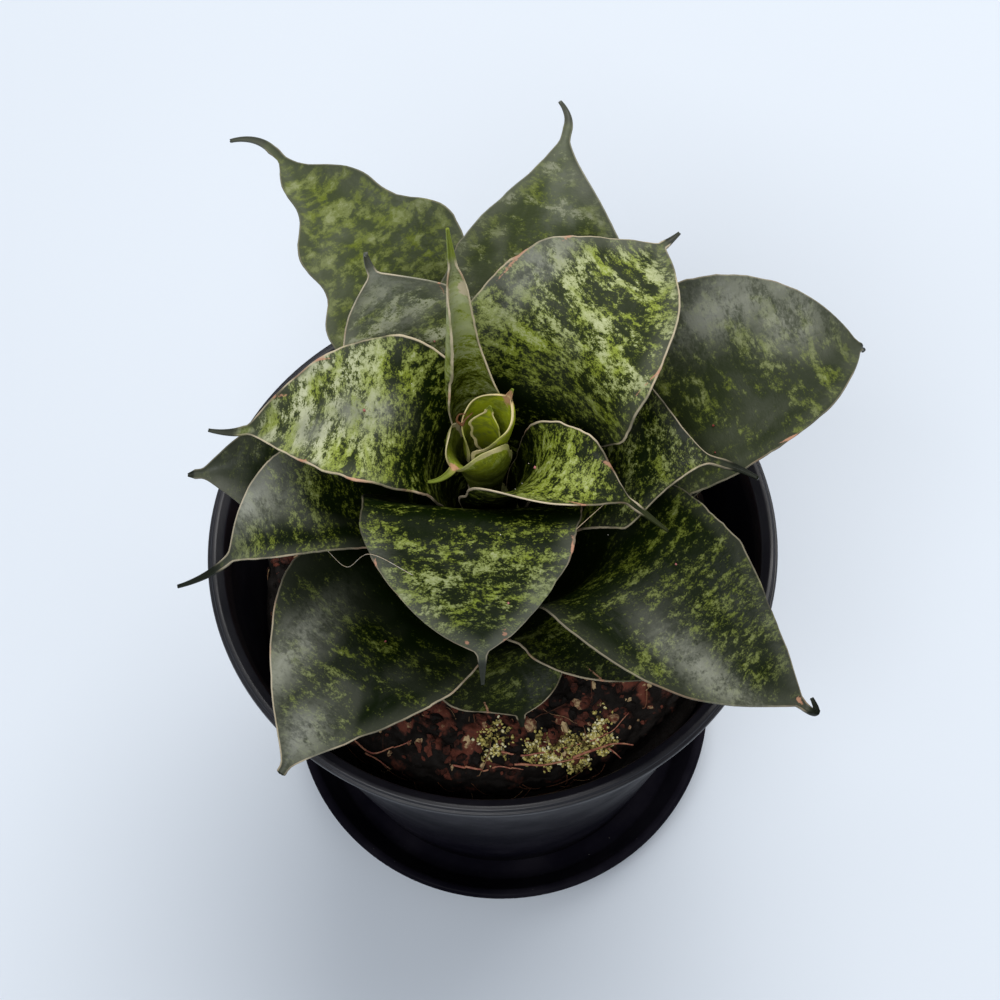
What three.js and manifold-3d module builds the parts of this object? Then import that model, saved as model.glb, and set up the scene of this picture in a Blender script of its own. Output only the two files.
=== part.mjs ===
// Potted bird's-nest snake plant: a rosette of broad, cupped, mottled leaves in a round plastic
// nursery pot on its saucer. Millimetres, Z up, the pot's axis on Z, the saucer's foot on z = 0,
// and the front of the plant towards -Y.
import * as THREE from 'three';
import Module from 'manifold-3d';

// ---------------------------------------------------------------- driving dimensions
const SAUCER_RADIUS = 65;        // outside of the saucer's rolled edge
const SAUCER_HEIGHT = 14;
const SAUCER_FOOT = 54;          // radius of the flat foot
const POT_RADIUS = 75;           // outside of the pot's rim
const POT_TOP = 134;             // height of the rim above the floor
const POT_BASE_RADIUS = 51;
const POT_BASE = 2.5;            // underside of the pot, 0.3 mm above the saucer's floor
const POT_FLOOR = 4.8;           // inside of the pot's floor
const DRAIN_HOLES = 6;
const DRAIN_RADIUS = 4;
const DRAIN_CIRCLE = 34;
const BALL_TOP = 117.5;          // mean height of the root ball's top
const BALL_RADIUS = 61;
const DITCH = 97.5;              // soil between the root ball and the pot's wall
const GAP = 0.3;                 // between neighbouring pieces
const ROUND = 48;                // sides of the turned pieces
const SOIL_SIDES = 56;           // sides of the soil
const INSIDE_FOOT = [49.3, 6];   // [radius, height] of the foot of the pot's inner wall
const INSIDE_TOP = [69.8, 129];  // and of its top, under the rim
const TIERS = [17.5, 15.1, 12.7, 10.3, 7.9, 5.4, 3]; // radii where the leaf bases clasp the stem
const STEM_HOLE = TIERS[0];      // plain hole in the soil for the foot of the stem
const STEM_FOOT = 100;           // bottom of that hole

const rad = (deg) => deg * Math.PI / 180;
const clamp01 = (x) => Math.min(1, Math.max(0, x));
const smooth = (x) => { const c = clamp01(x); return c * c * (3 - 2 * c); };

// ---------------------------------------------------------------- materials
const mat = (color, roughness) => new THREE.MeshStandardMaterial({ color, roughness });
const POT_BLACK = mat(0x17161b, 0.4);
const SAUCER_BLACK = mat(0x1d1a1c, 0.35);
const SOIL_BROWN = mat(0x3a2418, 0.95);
const STEM_PALE = mat(0xa8b07a, 0.7);
const LEAF_DARK = mat(0x2f4426, 0.45);
const LEAF_MID = mat(0x4a6230, 0.45);
const LEAF_YOUNG = mat(0x7c8c2e, 0.5);

const group = new THREE.Group();
group.name = 'potted_snake_plant';
const add = (name, geometry, material) => {
  const mesh = new THREE.Mesh(geometry, material);
  mesh.name = name;
  group.add(mesh);
};

// A turned solid from a closed [radius, height] outline that starts and ends on the axis.
const turned = (outline) => {
  const g = new THREE.LatheGeometry(outline.map(([r, z]) => new THREE.Vector2(r, z)), ROUND);
  return g.rotateX(Math.PI / 2);
};

// ---------------------------------------------------------------- saucer
// Flat foot, flared wall and a rolled edge.
const R = SAUCER_RADIUS, H = SAUCER_HEIGHT;
add('saucer', turned([
  [0, 0], [SAUCER_FOOT, 0], [SAUCER_FOOT + 2.6, 1.2], [R - 3.2, H - 3.6], [R - 0.9, H - 2.6],
  [R, H - 1.3],
  [R - 0.7, H - 0.2], [R - 1.8, H], [R - 2.9, H - 0.5], [R - 3.9, H - 2.2],
  [SAUCER_FOOT + 2.2, 3.2], [SAUCER_FOOT, 2.2], [0, 2.2],
]), SAUCER_BLACK);

// ---------------------------------------------------------------- pot
// Tapered wall, half-round rim with a fine groove, flat floor with drain holes.
const P = POT_RADIUS, T = POT_TOP;
const innerWall = (z) => INSIDE_FOOT[0]
  + (z - INSIDE_FOOT[1]) * (INSIDE_TOP[0] - INSIDE_FOOT[0]) / (INSIDE_TOP[1] - INSIDE_FOOT[1]);
const potSolid = turned([
  [0, POT_BASE], [POT_BASE_RADIUS - 2.5, POT_BASE], [POT_BASE_RADIUS - 0.6, POT_BASE + 0.8],
  [POT_BASE_RADIUS, POT_BASE + 2.6], [P - 4, T - 7.5],
  [P - 3.4, T - 5.6], [P - 1.6, T - 4.8], [P - 0.6, T - 3.4],
  [P, T - 1.6], [P - 0.3, T - 0.8], [P - 0.9, T - 0.75], [P - 1.2, T - 0.1], [P - 2.3, T],
  [P - 2.9, T - 0.35],
  [P - 4.4, T - 1.2], INSIDE_TOP, INSIDE_FOOT, [INSIDE_FOOT[0] - 1.1, POT_FLOOR], [0, POT_FLOOR],
]);

// ---------------------------------------------------------------- soil
// The root ball stands above a lower ring of loose soil at the pot's wall. Its top is rough with
// lumps of bark and coir, two sets of crossing waves deep enough to see.
const lumps = (x, y) => 0.9 * Math.sin(0.33 * x + 1.2 * Math.sin(0.11 * y + 1))
  * Math.sin(0.29 * y - 0.8 + 1.3 * Math.sin(0.13 * x))
  + 0.6 * Math.sin(0.61 * x + 0.37 * y) + 0.5 * Math.sin(0.47 * y - 0.71 * x + 2);
const SOIL_GAP = GAP + 0.1;      // a little more than between turned pieces, as the sides differ
const SOIL_FOOT = [innerWall(8) - SOIL_GAP, 8];
// Rings from the hole to the bottom:
// [radius, height, share of the lumps in the height, share of them in the radius].
const SOIL_RINGS = [
  [STEM_HOLE, BALL_TOP, 0.2, 0], [STEM_HOLE + 5, BALL_TOP, 0.7, 0],
  ...[28, 34, 41, 48, 54].map((r) => [r, BALL_TOP, 1, 0]),
  [BALL_RADIUS - 2.4, BALL_TOP - 0.6, 0.8, 0.4], [BALL_RADIUS, BALL_TOP - 4, 0.4, 0.7],
  [BALL_RADIUS - 1.4, BALL_TOP - 12, 0, 0.7], [BALL_RADIUS - 2.4, DITCH + 0.6, 0, 0.5],
  [innerWall(DITCH) - 3, DITCH, 0.3, 0], [innerWall(DITCH) - SOIL_GAP, DITCH, 0, 0],
  [...SOIL_FOOT, 0, 0], [INSIDE_FOOT[0] - 2.5, POT_FLOOR + GAP, 0, 0],
];
const soilGeometry = () => {
  const n = SOIL_RINGS.length, pos = [], idx = [];
  // The last ring closes on the bottom's centre and the first drops as the wall of the stem's hole.
  for (const [r, z, up, out] of SOIL_RINGS) {
    for (let k = 0; k < SOIL_SIDES; k++) {
      const a = 2 * Math.PI * k / SOIL_SIDES;
      const w = lumps(r * Math.cos(a), r * Math.sin(a));
      pos.push((r + out * w) * Math.cos(a), (r + out * w) * Math.sin(a), z + up * w);
    }
  }
  for (let k = 0; k < SOIL_SIDES; k++) {
    const a = 2 * Math.PI * k / SOIL_SIDES;
    pos.push(STEM_HOLE * Math.cos(a), STEM_HOLE * Math.sin(a), STEM_FOOT);
  }
  const holeCentre = pos.length / 3;
  pos.push(0, 0, STEM_FOOT);
  const bottomCentre = holeCentre + 1;
  pos.push(0, 0, POT_FLOOR + GAP);
  const at = (i, k) => i * SOIL_SIDES + k % SOIL_SIDES;
  for (let k = 0; k < SOIL_SIDES; k++) {
    for (let i = 0; i < n - 1; i++) {
      idx.push(at(i, k), at(i + 1, k), at(i + 1, k + 1), at(i, k), at(i + 1, k + 1), at(i, k + 1));
    }
    idx.push(at(n, k), at(0, k), at(0, k + 1), at(n, k), at(0, k + 1), at(n, k + 1));
    idx.push(holeCentre, at(n, k), at(n, k + 1));
    idx.push(bottomCentre, at(n - 1, k + 1), at(n - 1, k));
  }
  const g = new THREE.BufferGeometry();
  g.setAttribute('position', new THREE.Float32BufferAttribute(pos, 3));
  g.setIndex(idx);
  g.computeVertexNormals();
  return g;
};
add('soil', soilGeometry(), SOIL_BROWN);

// ---------------------------------------------------------------- stem
// The short hidden stem that every leaf grows from, thick at the soil and thin at the bud, with a
// step a gap inside each tier of leaf bases.
const [S0, S1, S2, S3, S4, S5, S6] = TIERS.map((r) => r - GAP);
add('stem', turned([
  [0, STEM_FOOT + 0.4], [S0 - 1.7, STEM_FOOT + 0.4], [S0, STEM_FOOT + 3], [S0, 119.5],
  [S1, 121.2], [S1, 122.3], [S2, 124.8], [S2, 128], [S3, 131.4], [S3, 138], [S4, 143], [S4, 150],
  [S5, 154], [S5, 160], [S6, 164], [S6 - 0.3, 168], [0.8, 171.6], [0, 171.8],
]), STEM_PALE);

// ---------------------------------------------------------------- leaves
// A leaf's midrib is a cubic curve `path` of [radius, height] in the upright plane at its azimuth
// `az` (degrees, anticlockwise from +X), bowed sideways by `sweep`. Across the midrib its section
// is an arc: `wrap` degrees to each side about the stem at the base (0: just clasping it), eased
// between the shares `shut` and `unwrap` of the length to `cup` degrees in the open blade, and
// turned about the midrib by `roll`. The half width grows from `base`/2 to `width`/2 at `wide` of the length
// (slower with more `neck`) and closes to the tip (rounder with more `full`, sharper with more
// `sharp`); `lop` makes the right-hand side wider and the left one narrower. The tip runs out in
// a stiff spine of length `spine` that bends up by `hook` and sideways by `turn` degrees. The
// margins go up and down by `wave`, `waves` times, and in and out by `scallop`, `lobes` times;
// `phase` and `lobe` shift both. `thick` is the thickness of the midrib at the base.
const LEAF = {
  width: 44, base: 18, wide: 0.5, neck: 1.3, full: 2, sharp: 1.35,
  cup: 28, wrap: 0, shut: 0, unwrap: 0.55, roll: 0, sweep: 0, lop: 0,
  wave: 1, waves: 2.5, phase: 0, scallop: 0.3, lobes: 4.5, lobe: 0,
  spine: 10, hook: 0, turn: 0, thick: 2.2,
};
const LEAVES = {
  // lowest tier
  leaf_front_low: {
    az: -85, path: [[17.5, 120], [27, 139], [40, 147], [50, 134]], width: 36, wide: 0.6, full: 2.5,
    sharp: 1.2, sweep: -4, spine: 3,
  },
  leaf_right_low: {
    az: 9, path: [[17.5, 120], [26, 145], [46, 158], [64, 146]], width: 28, spine: 3,
  },
  leaf_left_far: {
    az: 174, path: [[17.5, 120], [24, 150], [48, 173], [73, 167]], width: 42, roll: 12, lop: 0.12,
    spine: 2,
  },
  // outer tier
  leaf_front_right_low: {
    az: -50, path: [[15.1, 121.5], [22, 144], [42, 156], [59, 141]], width: 42, base: 15, full: 2.5,
    sharp: 1.2, spine: 1.5,
  },
  leaf_back_left: {
    az: 119.8, path: [[15.1, 122.4], [23.7, 164.1], [54.1, 206], [100.5, 190.3]], width: 45.1,
    base: 11.4, wide: 0.51, neck: 2.8, sharp: 1.62, cup: 32, roll: -1, sweep: -1.3, lop: 0.32,
    scallop: 2.3, lobes: 5.9, lobe: -0.5, spine: 14.4, hook: -8, turn: 55,
  },
  leaf_right: {
    az: 17.5, path: [[15.1, 121.5], [20, 150], [60, 190], [101, 169]], width: 53, base: 13,
    wide: 0.56, neck: 2.3, full: 3, sharp: 0.95, roll: -3, lop: -0.12, spine: 3, hook: -100,
  },
  leaf_front_left: {
    az: 231, path: [[15.1, 121.5], [15.9, 150.3], [50.1, 171.3], [85.6, 152.9]], width: 53.9,
    wide: 0.59, neck: 1.65, full: 1.8, sharp: 1.25, cup: 27, roll: 2, sweep: 0.2, lop: 0.07,
    spine: 0.5, hook: -4, turn: 3,
  },
  leaf_back: {
    az: 71.5, path: [[15.1, 121.5], [15, 172], [48, 194], [79.3, 208]], width: 56, base: 12,
    wide: 0.53, neck: 4.5, sharp: 1.6, roll: -3, lop: 0.14, spine: 7, hook: 20, turn: 70,
  },
  leaf_front_right: {
    az: -39.5, path: [[12.7, 125.5], [23, 163.3], [40.8, 187.7], [93.4, 156.2]], width: 52,
    wide: 0.55, neck: 4.4, full: 2.7, sharp: 1.01, cup: 39, roll: -6, sweep: 7, lop: 0.32, spine: 9,
    hook: 221, turn: -34,
  },
  leaf_left_low: {
    az: 193.7, path: [[12.7, 125.5], [17, 167.1], [39.2, 196], [67, 165.1]], width: 34.6,
    wide: 0.52, neck: 1.19, full: 2.8, sharp: 1.22, cup: 30, roll: -4, sweep: -0.4, lop: 0.18,
    spine: 16, hook: 28, turn: -9,
  },
  // inner tier
  leaf_left_back: {
    az: 123.2, path: [[10.3, 132], [13, 165], [26, 188.5], [44, 208.4]], width: 34.8, base: 16,
    wide: 0.66, neck: 3.4, full: 3.2, sharp: 0.95, cup: 12, roll: 19, lop: 0.08, spine: 8, hook: 60,
  },
  leaf_right_mid: {
    az: -4.2, path: [[10.3, 132], [14.8, 166.1], [35.5, 192.8], [57.6, 177.2]], width: 43.3,
    base: 16, wide: 0.65, neck: 3, full: 1.2, sharp: 1.9, cup: 25, sweep: 0.7, lop: -0.08,
    spine: 9.2, hook: 32, turn: -35,
  },
  leaf_front: {
    az: -95, path: [[10.3, 132], [7, 193.5], [25, 215], [46.1, 168.4]], width: 50.7, base: 16,
    wide: 0.4, neck: 2.2, full: 4.2, sharp: 1.03, cup: 3, lop: 0.12, spine: 9, hook: 10,
  },
  leaf_back_right: {
    az: 45, path: [[7.9, 144], [12, 193.3], [27.5, 218.9], [66.1, 197.4]], width: 52.7, base: 16,
    wide: 0.52, neck: 2.93, full: 2.4, sharp: 1.19, roll: -5, sweep: 3.3, lop: 0.24, spine: 5.5,
    hook: 39, turn: -9,
  },
  leaf_left: {
    az: 167.2, path: [[7.9, 144], [12, 190.3], [13.2, 210.5], [61, 177.2]], width: 37.4, base: 16,
    wide: 0.61, neck: 1.56, full: 2.5, sharp: 1.17, cup: 24, roll: 6.6, sweep: -0.5, lop: 0.06,
    spine: 9.5, hook: 37, turn: -4,
  },
  // heart
  leaf_right_small: {
    az: -27, path: [[5.4, 155], [8.5, 186], [18, 203], [38.5, 185.2]], width: 31, base: 15.5,
    neck: 0.7, cup: 38, wrap: 83, unwrap: 0.95, lop: 0.28, spine: 11, thick: 1.6,
  },
  leaf_upright: {
    az: 105.4, path: [[5.4, 155], [9.4, 184.9], [13.7, 209], [17.6, 240.9]], width: 16.3, base: 8.4,
    neck: 1.38, full: 1, sharp: 0.5, cup: 93, roll: -3, sweep: 0.6, lop: 0.03, scallop: 2.6,
    lobes: 1, lobe: -2.6, spine: 12, hook: -2, turn: -2, thick: 1.5, unwrap: 0.83,
  },
  bud_outer: {
    az: 229, path: [[3, 164.5], [6, 180], [8.5, 196], [12, 194]], width: 25, base: 11.5, wide: 0.66,
    sharp: 1.1, cup: 100, wrap: 110, lop: -0.1, wave: 0.3, spine: 7, turn: -60, thick: 1.2,
  },
  bud_inner: {
    az: 42, path: [[1.2, 172.5], [2, 181], [3.4, 190], [8.4, 200]], width: 27, base: 7.4, wide: 0.6,
    neck: 1.6, full: 3, sharp: 0.62, cup: 95, wrap: 172, shut: 0.55, unwrap: 1, wave: 0.2,
    spine: 2.8, thick: 0.9,
  },
  bud_heart: {
    az: 60, path: [[0.4, 180], [0.8, 188], [1.4, 194], [3, 200]], width: 8.4, base: 1.6, wide: 0.72,
    cup: 46, wrap: 90, wave: 0, spine: 1.5, thick: 0.8,
  },
};
const ALONG = 14;                // steps along the blade
const SPINE_STEPS = 3;           // steps along the spine
const ACROSS = 6;                // steps from margin to margin
const WRAP_MOST = 100;           // most degrees a base clasps the stem by to each side
const ROLLED_AT = 0.6;           // share of the length by which the roll is complete
const TIP_FROM = 0.85;           // from here the section closes towards TIP_CUP degrees
const TIP_CUP = 60;
const TIP_SHARE = 0.6;           // by this share
const TIP_HALF = 1;              // half width where the spine starts
const SPINE_TAPER = 0.7;         // lost along the spine
const SIDE_LOBE = 2.4;           // phase of the right margin's lobes against the left's
const SIDE_WAVE = 1.9;           // phase of the left margin's waves against the right's
const UPRIGHT = 0.05;            // a midrib nearer to upright than this keeps its side direction
const THIN_MARGIN = 0.62;        // thickness lost at the margins,
const THIN_TIP = 0.45;           // along the blade,
const THIN_SPINE = 0.4;          // and along the spine
const THICK_LEAST = 0.7;

// Points of the midrib and spine in the leaf's own plane, with each point's share of the length
// and of the spine.
const midrib = (q) => {
  const [a, b, c, d] = q.path;
  const bezier = (t, k) => (1 - t) ** 3 * a[k] + 3 * (1 - t) ** 2 * t * b[k]
    + 3 * (1 - t) * t * t * c[k] + t ** 3 * d[k];
  const points = [], along = [], spine = [];
  for (let i = 0; i <= ALONG; i++) {
    const t = i / ALONG;
    const bow = q.sweep * Math.sin(Math.PI * t) ** 3;
    points.push(new THREE.Vector3(bezier(t, 0), bow, bezier(t, 1)));
    along.push(t);
    spine.push(0);
  }
  const out = points[ALONG].clone().sub(points[ALONG - 1]).normalize();
  const pitch = Math.atan2(out.z, Math.hypot(out.x, out.y)), head = Math.atan2(out.y, out.x);
  let end = points[ALONG];
  for (let i = 1; i <= SPINE_STEPS; i++) {
    const f = (i - 0.5) / SPINE_STEPS, p = pitch + rad(q.hook) * f, h = head + rad(q.turn) * f;
    const step = new THREE.Vector3(Math.cos(p) * Math.cos(h), Math.cos(p) * Math.sin(h), Math.sin(p));
    end = end.clone().addScaledVector(step, q.spine / SPINE_STEPS);
    points.push(end);
    along.push(1);
    spine.push(i / SPINE_STEPS);
  }
  return { points, along, spine };
};
// The unit directions to the right of the midrib and up out of the blade at point i.
const frameAt = (points, i, roll) => {
  const ahead = points[Math.min(points.length - 1, i + 1)], behind = points[Math.max(0, i - 1)];
  const T = ahead.clone().sub(behind).normalize();
  const level = T.clone().cross(new THREE.Vector3(0, 0, 1)), length = level.length();
  const w = smooth((length - UPRIGHT) / 0.2);
  const S = level.multiplyScalar(w / Math.max(length, 1e-9)).add(new THREE.Vector3(0, w - 1, 0));
  S.addScaledVector(T, -S.dot(T)).normalize();
  const N = S.clone().cross(T).normalize();
  const side = S.clone().multiplyScalar(Math.cos(roll)).addScaledVector(N, Math.sin(roll));
  const up = N.clone().multiplyScalar(Math.cos(roll)).addScaledVector(S, -Math.sin(roll));
  return { side, up };
};
// The upper face as a grid of points, row by row from the base to the end of the spine.
const leafGrid = (q) => {
  const { points, along, spine } = midrib(q);
  const widest = q.width / 2, foot = q.base / 2, az = rad(q.az);
  const wrap = q.wrap || Math.min(WRAP_MOST, foot / q.path[0][0] * 180 / Math.PI);
  const grid = points.map((point, i) => {
    const t = along[i];
    const { side, up } = frameAt(points, i, rad(q.roll) * smooth(t / ROLLED_AT));
    const x = clamp01((t - q.wide) / (1 - q.wide));
    const growing = foot + (widest - foot) * Math.sin(Math.PI / 2 * clamp01(t / q.wide)) ** q.neck;
    const closing = widest * (1 - x ** q.full) ** q.sharp;
    const half = Math.max(t < q.wide ? growing : closing, TIP_HALF - SPINE_TAPER * spine[i]);
    const open = wrap + (q.cup - wrap) * smooth((t - q.shut) / (q.unwrap - q.shut));
    const phi = rad(open + (TIP_CUP - open) * smooth((t - TIP_FROM) / (1 - TIP_FROM)) * TIP_SHARE);
    const radius = half / phi, free = spine[i] ? 0 : Math.sin(Math.PI * t) ** 0.7, row = [];
    for (let j = 0; j <= ACROSS; j++) {
      const v0 = -1 + 2 * j / ACROSS;
      const lobe = 2 * Math.PI * q.lobes * t + q.lobe + (v0 < 0 ? 0 : SIDE_LOBE);
      const wave = 2 * Math.PI * q.waves * t + q.phase + (v0 < 0 ? SIDE_WAVE : 0);
      const v = v0 * (1 + q.lop * Math.sign(v0) + q.scallop * free * Math.sin(lobe) / half);
      const lift = q.wave * free * Math.abs(v0) ** 2.5 * Math.sin(wave);
      row.push(point.clone()
        .addScaledVector(side, radius * Math.sin(v * phi))
        .addScaledVector(up, radius * (1 - Math.cos(v * phi)) + lift)
        .applyAxisAngle(new THREE.Vector3(0, 0, 1), az));
    }
    return row;
  });
  return { grid, along, spine };
};
// Closed leaf: the upper face is the grid, the under face lies `thick` behind it at the midrib and
// thins to the margin and the tip, and both faces are split into triangles alike.
const leafGeometry = (q) => {
  const { grid, along, spine } = leafGrid(q);
  const n = grid.length, m = ACROSS + 1, pos = [], under = [], idx = [];
  for (let i = 0; i < n; i++) {
    for (let j = 0; j < m; j++) {
      const du = grid[Math.min(n - 1, i + 1)][j].clone().sub(grid[Math.max(0, i - 1)][j]);
      const dv = grid[i][Math.min(m - 1, j + 1)].clone().sub(grid[i][Math.max(0, j - 1)]);
      const nrm = dv.cross(du).normalize();
      const v = Math.abs(2 * j / ACROSS - 1);
      const body = q.thick * (1 - THIN_TIP * along[i]) * (1 - THIN_SPINE * spine[i]);
      const th = Math.max(THICK_LEAST, body * (1 - THIN_MARGIN * v ** 2));
      const g = grid[i][j];
      pos.push(g.x, g.y, g.z);
      under.push(g.x - nrm.x * th, g.y - nrm.y * th, g.z - nrm.z * th);
    }
  }
  pos.push(...under);
  const top = (i, j) => i * m + j, low = (i, j) => n * m + i * m + j;
  // Two triangles of a four-sided patch.
  const patch = (a, b, c, d) => idx.push(a, b, c, a, c, d);
  for (let i = 0; i < n - 1; i++) {
    for (let j = 0; j < m - 1; j++) {
      patch(top(i, j), top(i, j + 1), top(i + 1, j + 1), top(i + 1, j));
      idx.push(low(i, j), low(i + 1, j + 1), low(i, j + 1));
      idx.push(low(i, j), low(i + 1, j), low(i + 1, j + 1));
    }
    patch(top(i, 0), top(i + 1, 0), low(i + 1, 0), low(i, 0));
    patch(top(i, m - 1), low(i, m - 1), low(i + 1, m - 1), top(i + 1, m - 1));
  }
  for (let j = 0; j < m - 1; j++) {
    patch(top(0, j), low(0, j), low(0, j + 1), top(0, j + 1));
    patch(top(n - 1, j), top(n - 1, j + 1), low(n - 1, j + 1), low(n - 1, j));
  }
  const g = new THREE.BufferGeometry();
  g.setAttribute('position', new THREE.Float32BufferAttribute(pos, 3));
  g.setIndex(idx);
  g.computeVertexNormals();
  return g;
};
const YOUNG = ['bud_outer', 'bud_inner', 'bud_heart'];
const FRESH = ['leaf_right_small', 'leaf_upright', 'leaf_left', 'leaf_front', 'leaf_back_right'];
const skinOf = (name) => {
  if (YOUNG.includes(name)) return LEAF_YOUNG;
  return FRESH.includes(name) ? LEAF_MID : LEAF_DARK;
};
for (const [name, spec] of Object.entries(LEAVES)) {
  add(name, leafGeometry({ ...LEAF, ...spec }), skinOf(name));
}

// ---------------------------------------------------------------- drain holes in the pot's floor
const wasm = await Module();
wasm.setup();
const { Manifold, Mesh } = wasm;
const toManifold = (geometry) => {
  const p = geometry.attributes.position, seen = new Map(), verts = [], tris = [];
  const id = (i) => {
    const key = [p.getX(i), p.getY(i), p.getZ(i)].map((c) => Math.round(c * 1e4)).join();
    if (!seen.has(key)) {
      seen.set(key, verts.length / 3);
      verts.push(p.getX(i), p.getY(i), p.getZ(i));
    }
    return seen.get(key);
  };
  const index = geometry.index;
  for (let k = 0; k < index.count; k += 3) {
    const [a, b, c] = [id(index.getX(k)), id(index.getX(k + 1)), id(index.getX(k + 2))];
    if (a !== b && b !== c && c !== a) tris.push(a, b, c);
  }
  const vertProperties = new Float32Array(verts), triVerts = new Uint32Array(tris);
  return new Manifold(new Mesh({ numProp: 3, vertProperties, triVerts }));
};
const fromManifold = (solid) => {
  const mesh = solid.getMesh(), g = new THREE.BufferGeometry();
  const pos = [];
  for (let i = 0; i < mesh.vertProperties.length; i += mesh.numProp) {
    pos.push(mesh.vertProperties[i], mesh.vertProperties[i + 1], mesh.vertProperties[i + 2]);
  }
  g.setAttribute('position', new THREE.Float32BufferAttribute(pos, 3));
  g.setIndex([...mesh.triVerts]);
  g.computeVertexNormals();
  return g;
};
const BORE_LENGTH = 20, BORE_SIDES = 20;
let pot = toManifold(potSolid);
for (let k = 0; k < DRAIN_HOLES; k++) {
  const a = 2 * Math.PI * (k + 0.5) / DRAIN_HOLES;
  const bore = Manifold.cylinder(BORE_LENGTH, DRAIN_RADIUS, DRAIN_RADIUS, BORE_SIDES, true);
  pot = pot.subtract(bore.translate([DRAIN_CIRCLE * Math.cos(a), DRAIN_CIRCLE * Math.sin(a), 0]));
}
add('pot', fromManifold(pot), POT_BLACK);

export default group;
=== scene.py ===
"""Dresses the potted snake plant: a rosette of mottled leaves in a black pot on its saucer.

Laid out as a Blender add-on and run as a script. Each operator makes one piece or one group of
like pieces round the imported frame; main() calls them in order.
"""
import math

import bpy
import numpy as np
from bpy.props import FloatProperty, FloatVectorProperty, IntProperty, PointerProperty
from mathutils import Matrix, Vector


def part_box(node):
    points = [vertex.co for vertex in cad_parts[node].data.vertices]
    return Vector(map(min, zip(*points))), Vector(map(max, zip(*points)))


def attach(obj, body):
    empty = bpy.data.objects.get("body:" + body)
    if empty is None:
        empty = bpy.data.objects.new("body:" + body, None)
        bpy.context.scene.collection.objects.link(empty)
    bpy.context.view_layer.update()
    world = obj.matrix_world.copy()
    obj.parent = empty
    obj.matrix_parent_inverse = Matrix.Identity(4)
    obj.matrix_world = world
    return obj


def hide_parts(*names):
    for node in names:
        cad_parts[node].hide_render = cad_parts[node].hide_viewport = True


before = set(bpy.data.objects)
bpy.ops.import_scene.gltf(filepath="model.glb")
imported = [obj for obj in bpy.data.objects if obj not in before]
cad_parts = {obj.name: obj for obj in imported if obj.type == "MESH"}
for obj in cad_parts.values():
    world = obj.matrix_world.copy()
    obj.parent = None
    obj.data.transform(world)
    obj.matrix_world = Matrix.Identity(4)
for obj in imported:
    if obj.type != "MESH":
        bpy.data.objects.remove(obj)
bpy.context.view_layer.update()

bl_info = {
    "name": "Potted snake plant",
    "version": (1, 0, 0),
    "blender": (4, 5, 0),
    "location": "3D View > Sidebar > Snake plant",
    "description": "Builds a mottled bird's-nest snake plant in a black pot on a saucer",
    "category": "Object",
}

MM = 0.001

# ------------------------------------------------------------------ sizes taken from the frame
SAUCER_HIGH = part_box("saucer")[1]
POT_LOW, POT_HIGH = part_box("pot")
SOIL_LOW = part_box("soil")[0]


def srgb(r, g, b):
    """A colour given as 0 to 255 display values, in the linear values that the nodes take."""
    c = np.array([r, g, b]) / 255.0
    return tuple(np.where(c <= 0.04045, c / 12.92, ((c + 0.055) / 1.055) ** 2.4))


PLASTIC_BLACK = (0.0045, 0.004, 0.0075)


# ------------------------------------------------------------------ numbers that a user may change
def colour_setting(name, description, default):
    """A colour in linear values."""
    return FloatVectorProperty(name=name, description=description, subtype="COLOR", default=default)


def length_setting(name, description, default):
    """A length in metres."""
    return FloatProperty(name=name, description=description, default=default, unit="LENGTH")


def light_setting(name, description, default):
    """A strength of light, 0 or more."""
    return FloatProperty(name=name, description=description, default=default, min=0.0)


def count_setting(name, description, default, least=0):
    """A whole number with a least value."""
    return IntProperty(name=name, description=description, default=default, min=least)


class PotSettings(bpy.types.PropertyGroup):
    """Sizes and finish of the pot and the saucer."""

    pot_radius: length_setting("Pot radius", "Outside radius of the pot's rim", POT_HIGH[0])
    pot_top: length_setting("Pot top", "Height of the rim above the floor", POT_HIGH[2])
    pot_base: length_setting("Pot base", "Height of the pot's underside", POT_LOW[2])
    saucer_radius: length_setting(
        "Saucer radius", "Outside radius of the saucer's rolled edge", SAUCER_HIGH[0])
    saucer_height: length_setting("Saucer height", "Height of the saucer's edge", SAUCER_HIGH[2])
    sides: count_setting("Sides", "Steps round the turned pieces", 192, 24)
    pot_colour: colour_setting("Pot colour", "Colour of the pot's plastic", PLASTIC_BLACK)
    saucer_colour: colour_setting("Saucer colour", "Colour of the saucer's plastic", PLASTIC_BLACK)


class LeafSettings(bpy.types.PropertyGroup):
    """Colours and grid of the leaves."""

    rows: count_setting("Rows", "Steps along a blade", 96, 14)
    tip_rows: count_setting("Tip rows", "Steps along the spine", 14, 3)
    columns: count_setting("Columns", "Steps from the midrib to a margin", 20, 3)
    # Throat green is partly the skin's own dark and partly painted shade deep in the rosette.
    deep: colour_setting("Throat green", "Colour of the skin deep in the rosette", srgb(10, 20, 2))
    dark: colour_setting("Dark green", "Colour between the speckles", srgb(66, 74, 46))
    light: colour_setting("Speckle green", "Colour of the speckled cross bands", srgb(146, 160, 52))
    pale: colour_setting("Pale green", "Colour of the outer speckles", srgb(202, 205, 168))
    # This grey is partly the leaves' own waxy colour and partly painted sheen, the light's reflection
    # painted into the skin.
    wax_and_sheen: colour_setting("Wax grey", "Colour of the waxy bloom", srgb(130, 132, 116))
    young: colour_setting("Young green", "Colour of the youngest leaves", srgb(180, 192, 32))
    margin: colour_setting("Margin", "Colour of the thin pale margin", srgb(210, 194, 164))
    young_margin: colour_setting(
        "Young margin", "Colour of the margin of the youngest leaves", srgb(238, 222, 150))
    scar: colour_setting(
        "Margin scars", "Colour of the healed spots on the margin", srgb(192, 142, 114))
    spine: colour_setting("Spine", "Colour of the stiff tips", srgb(22, 27, 16))


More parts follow.
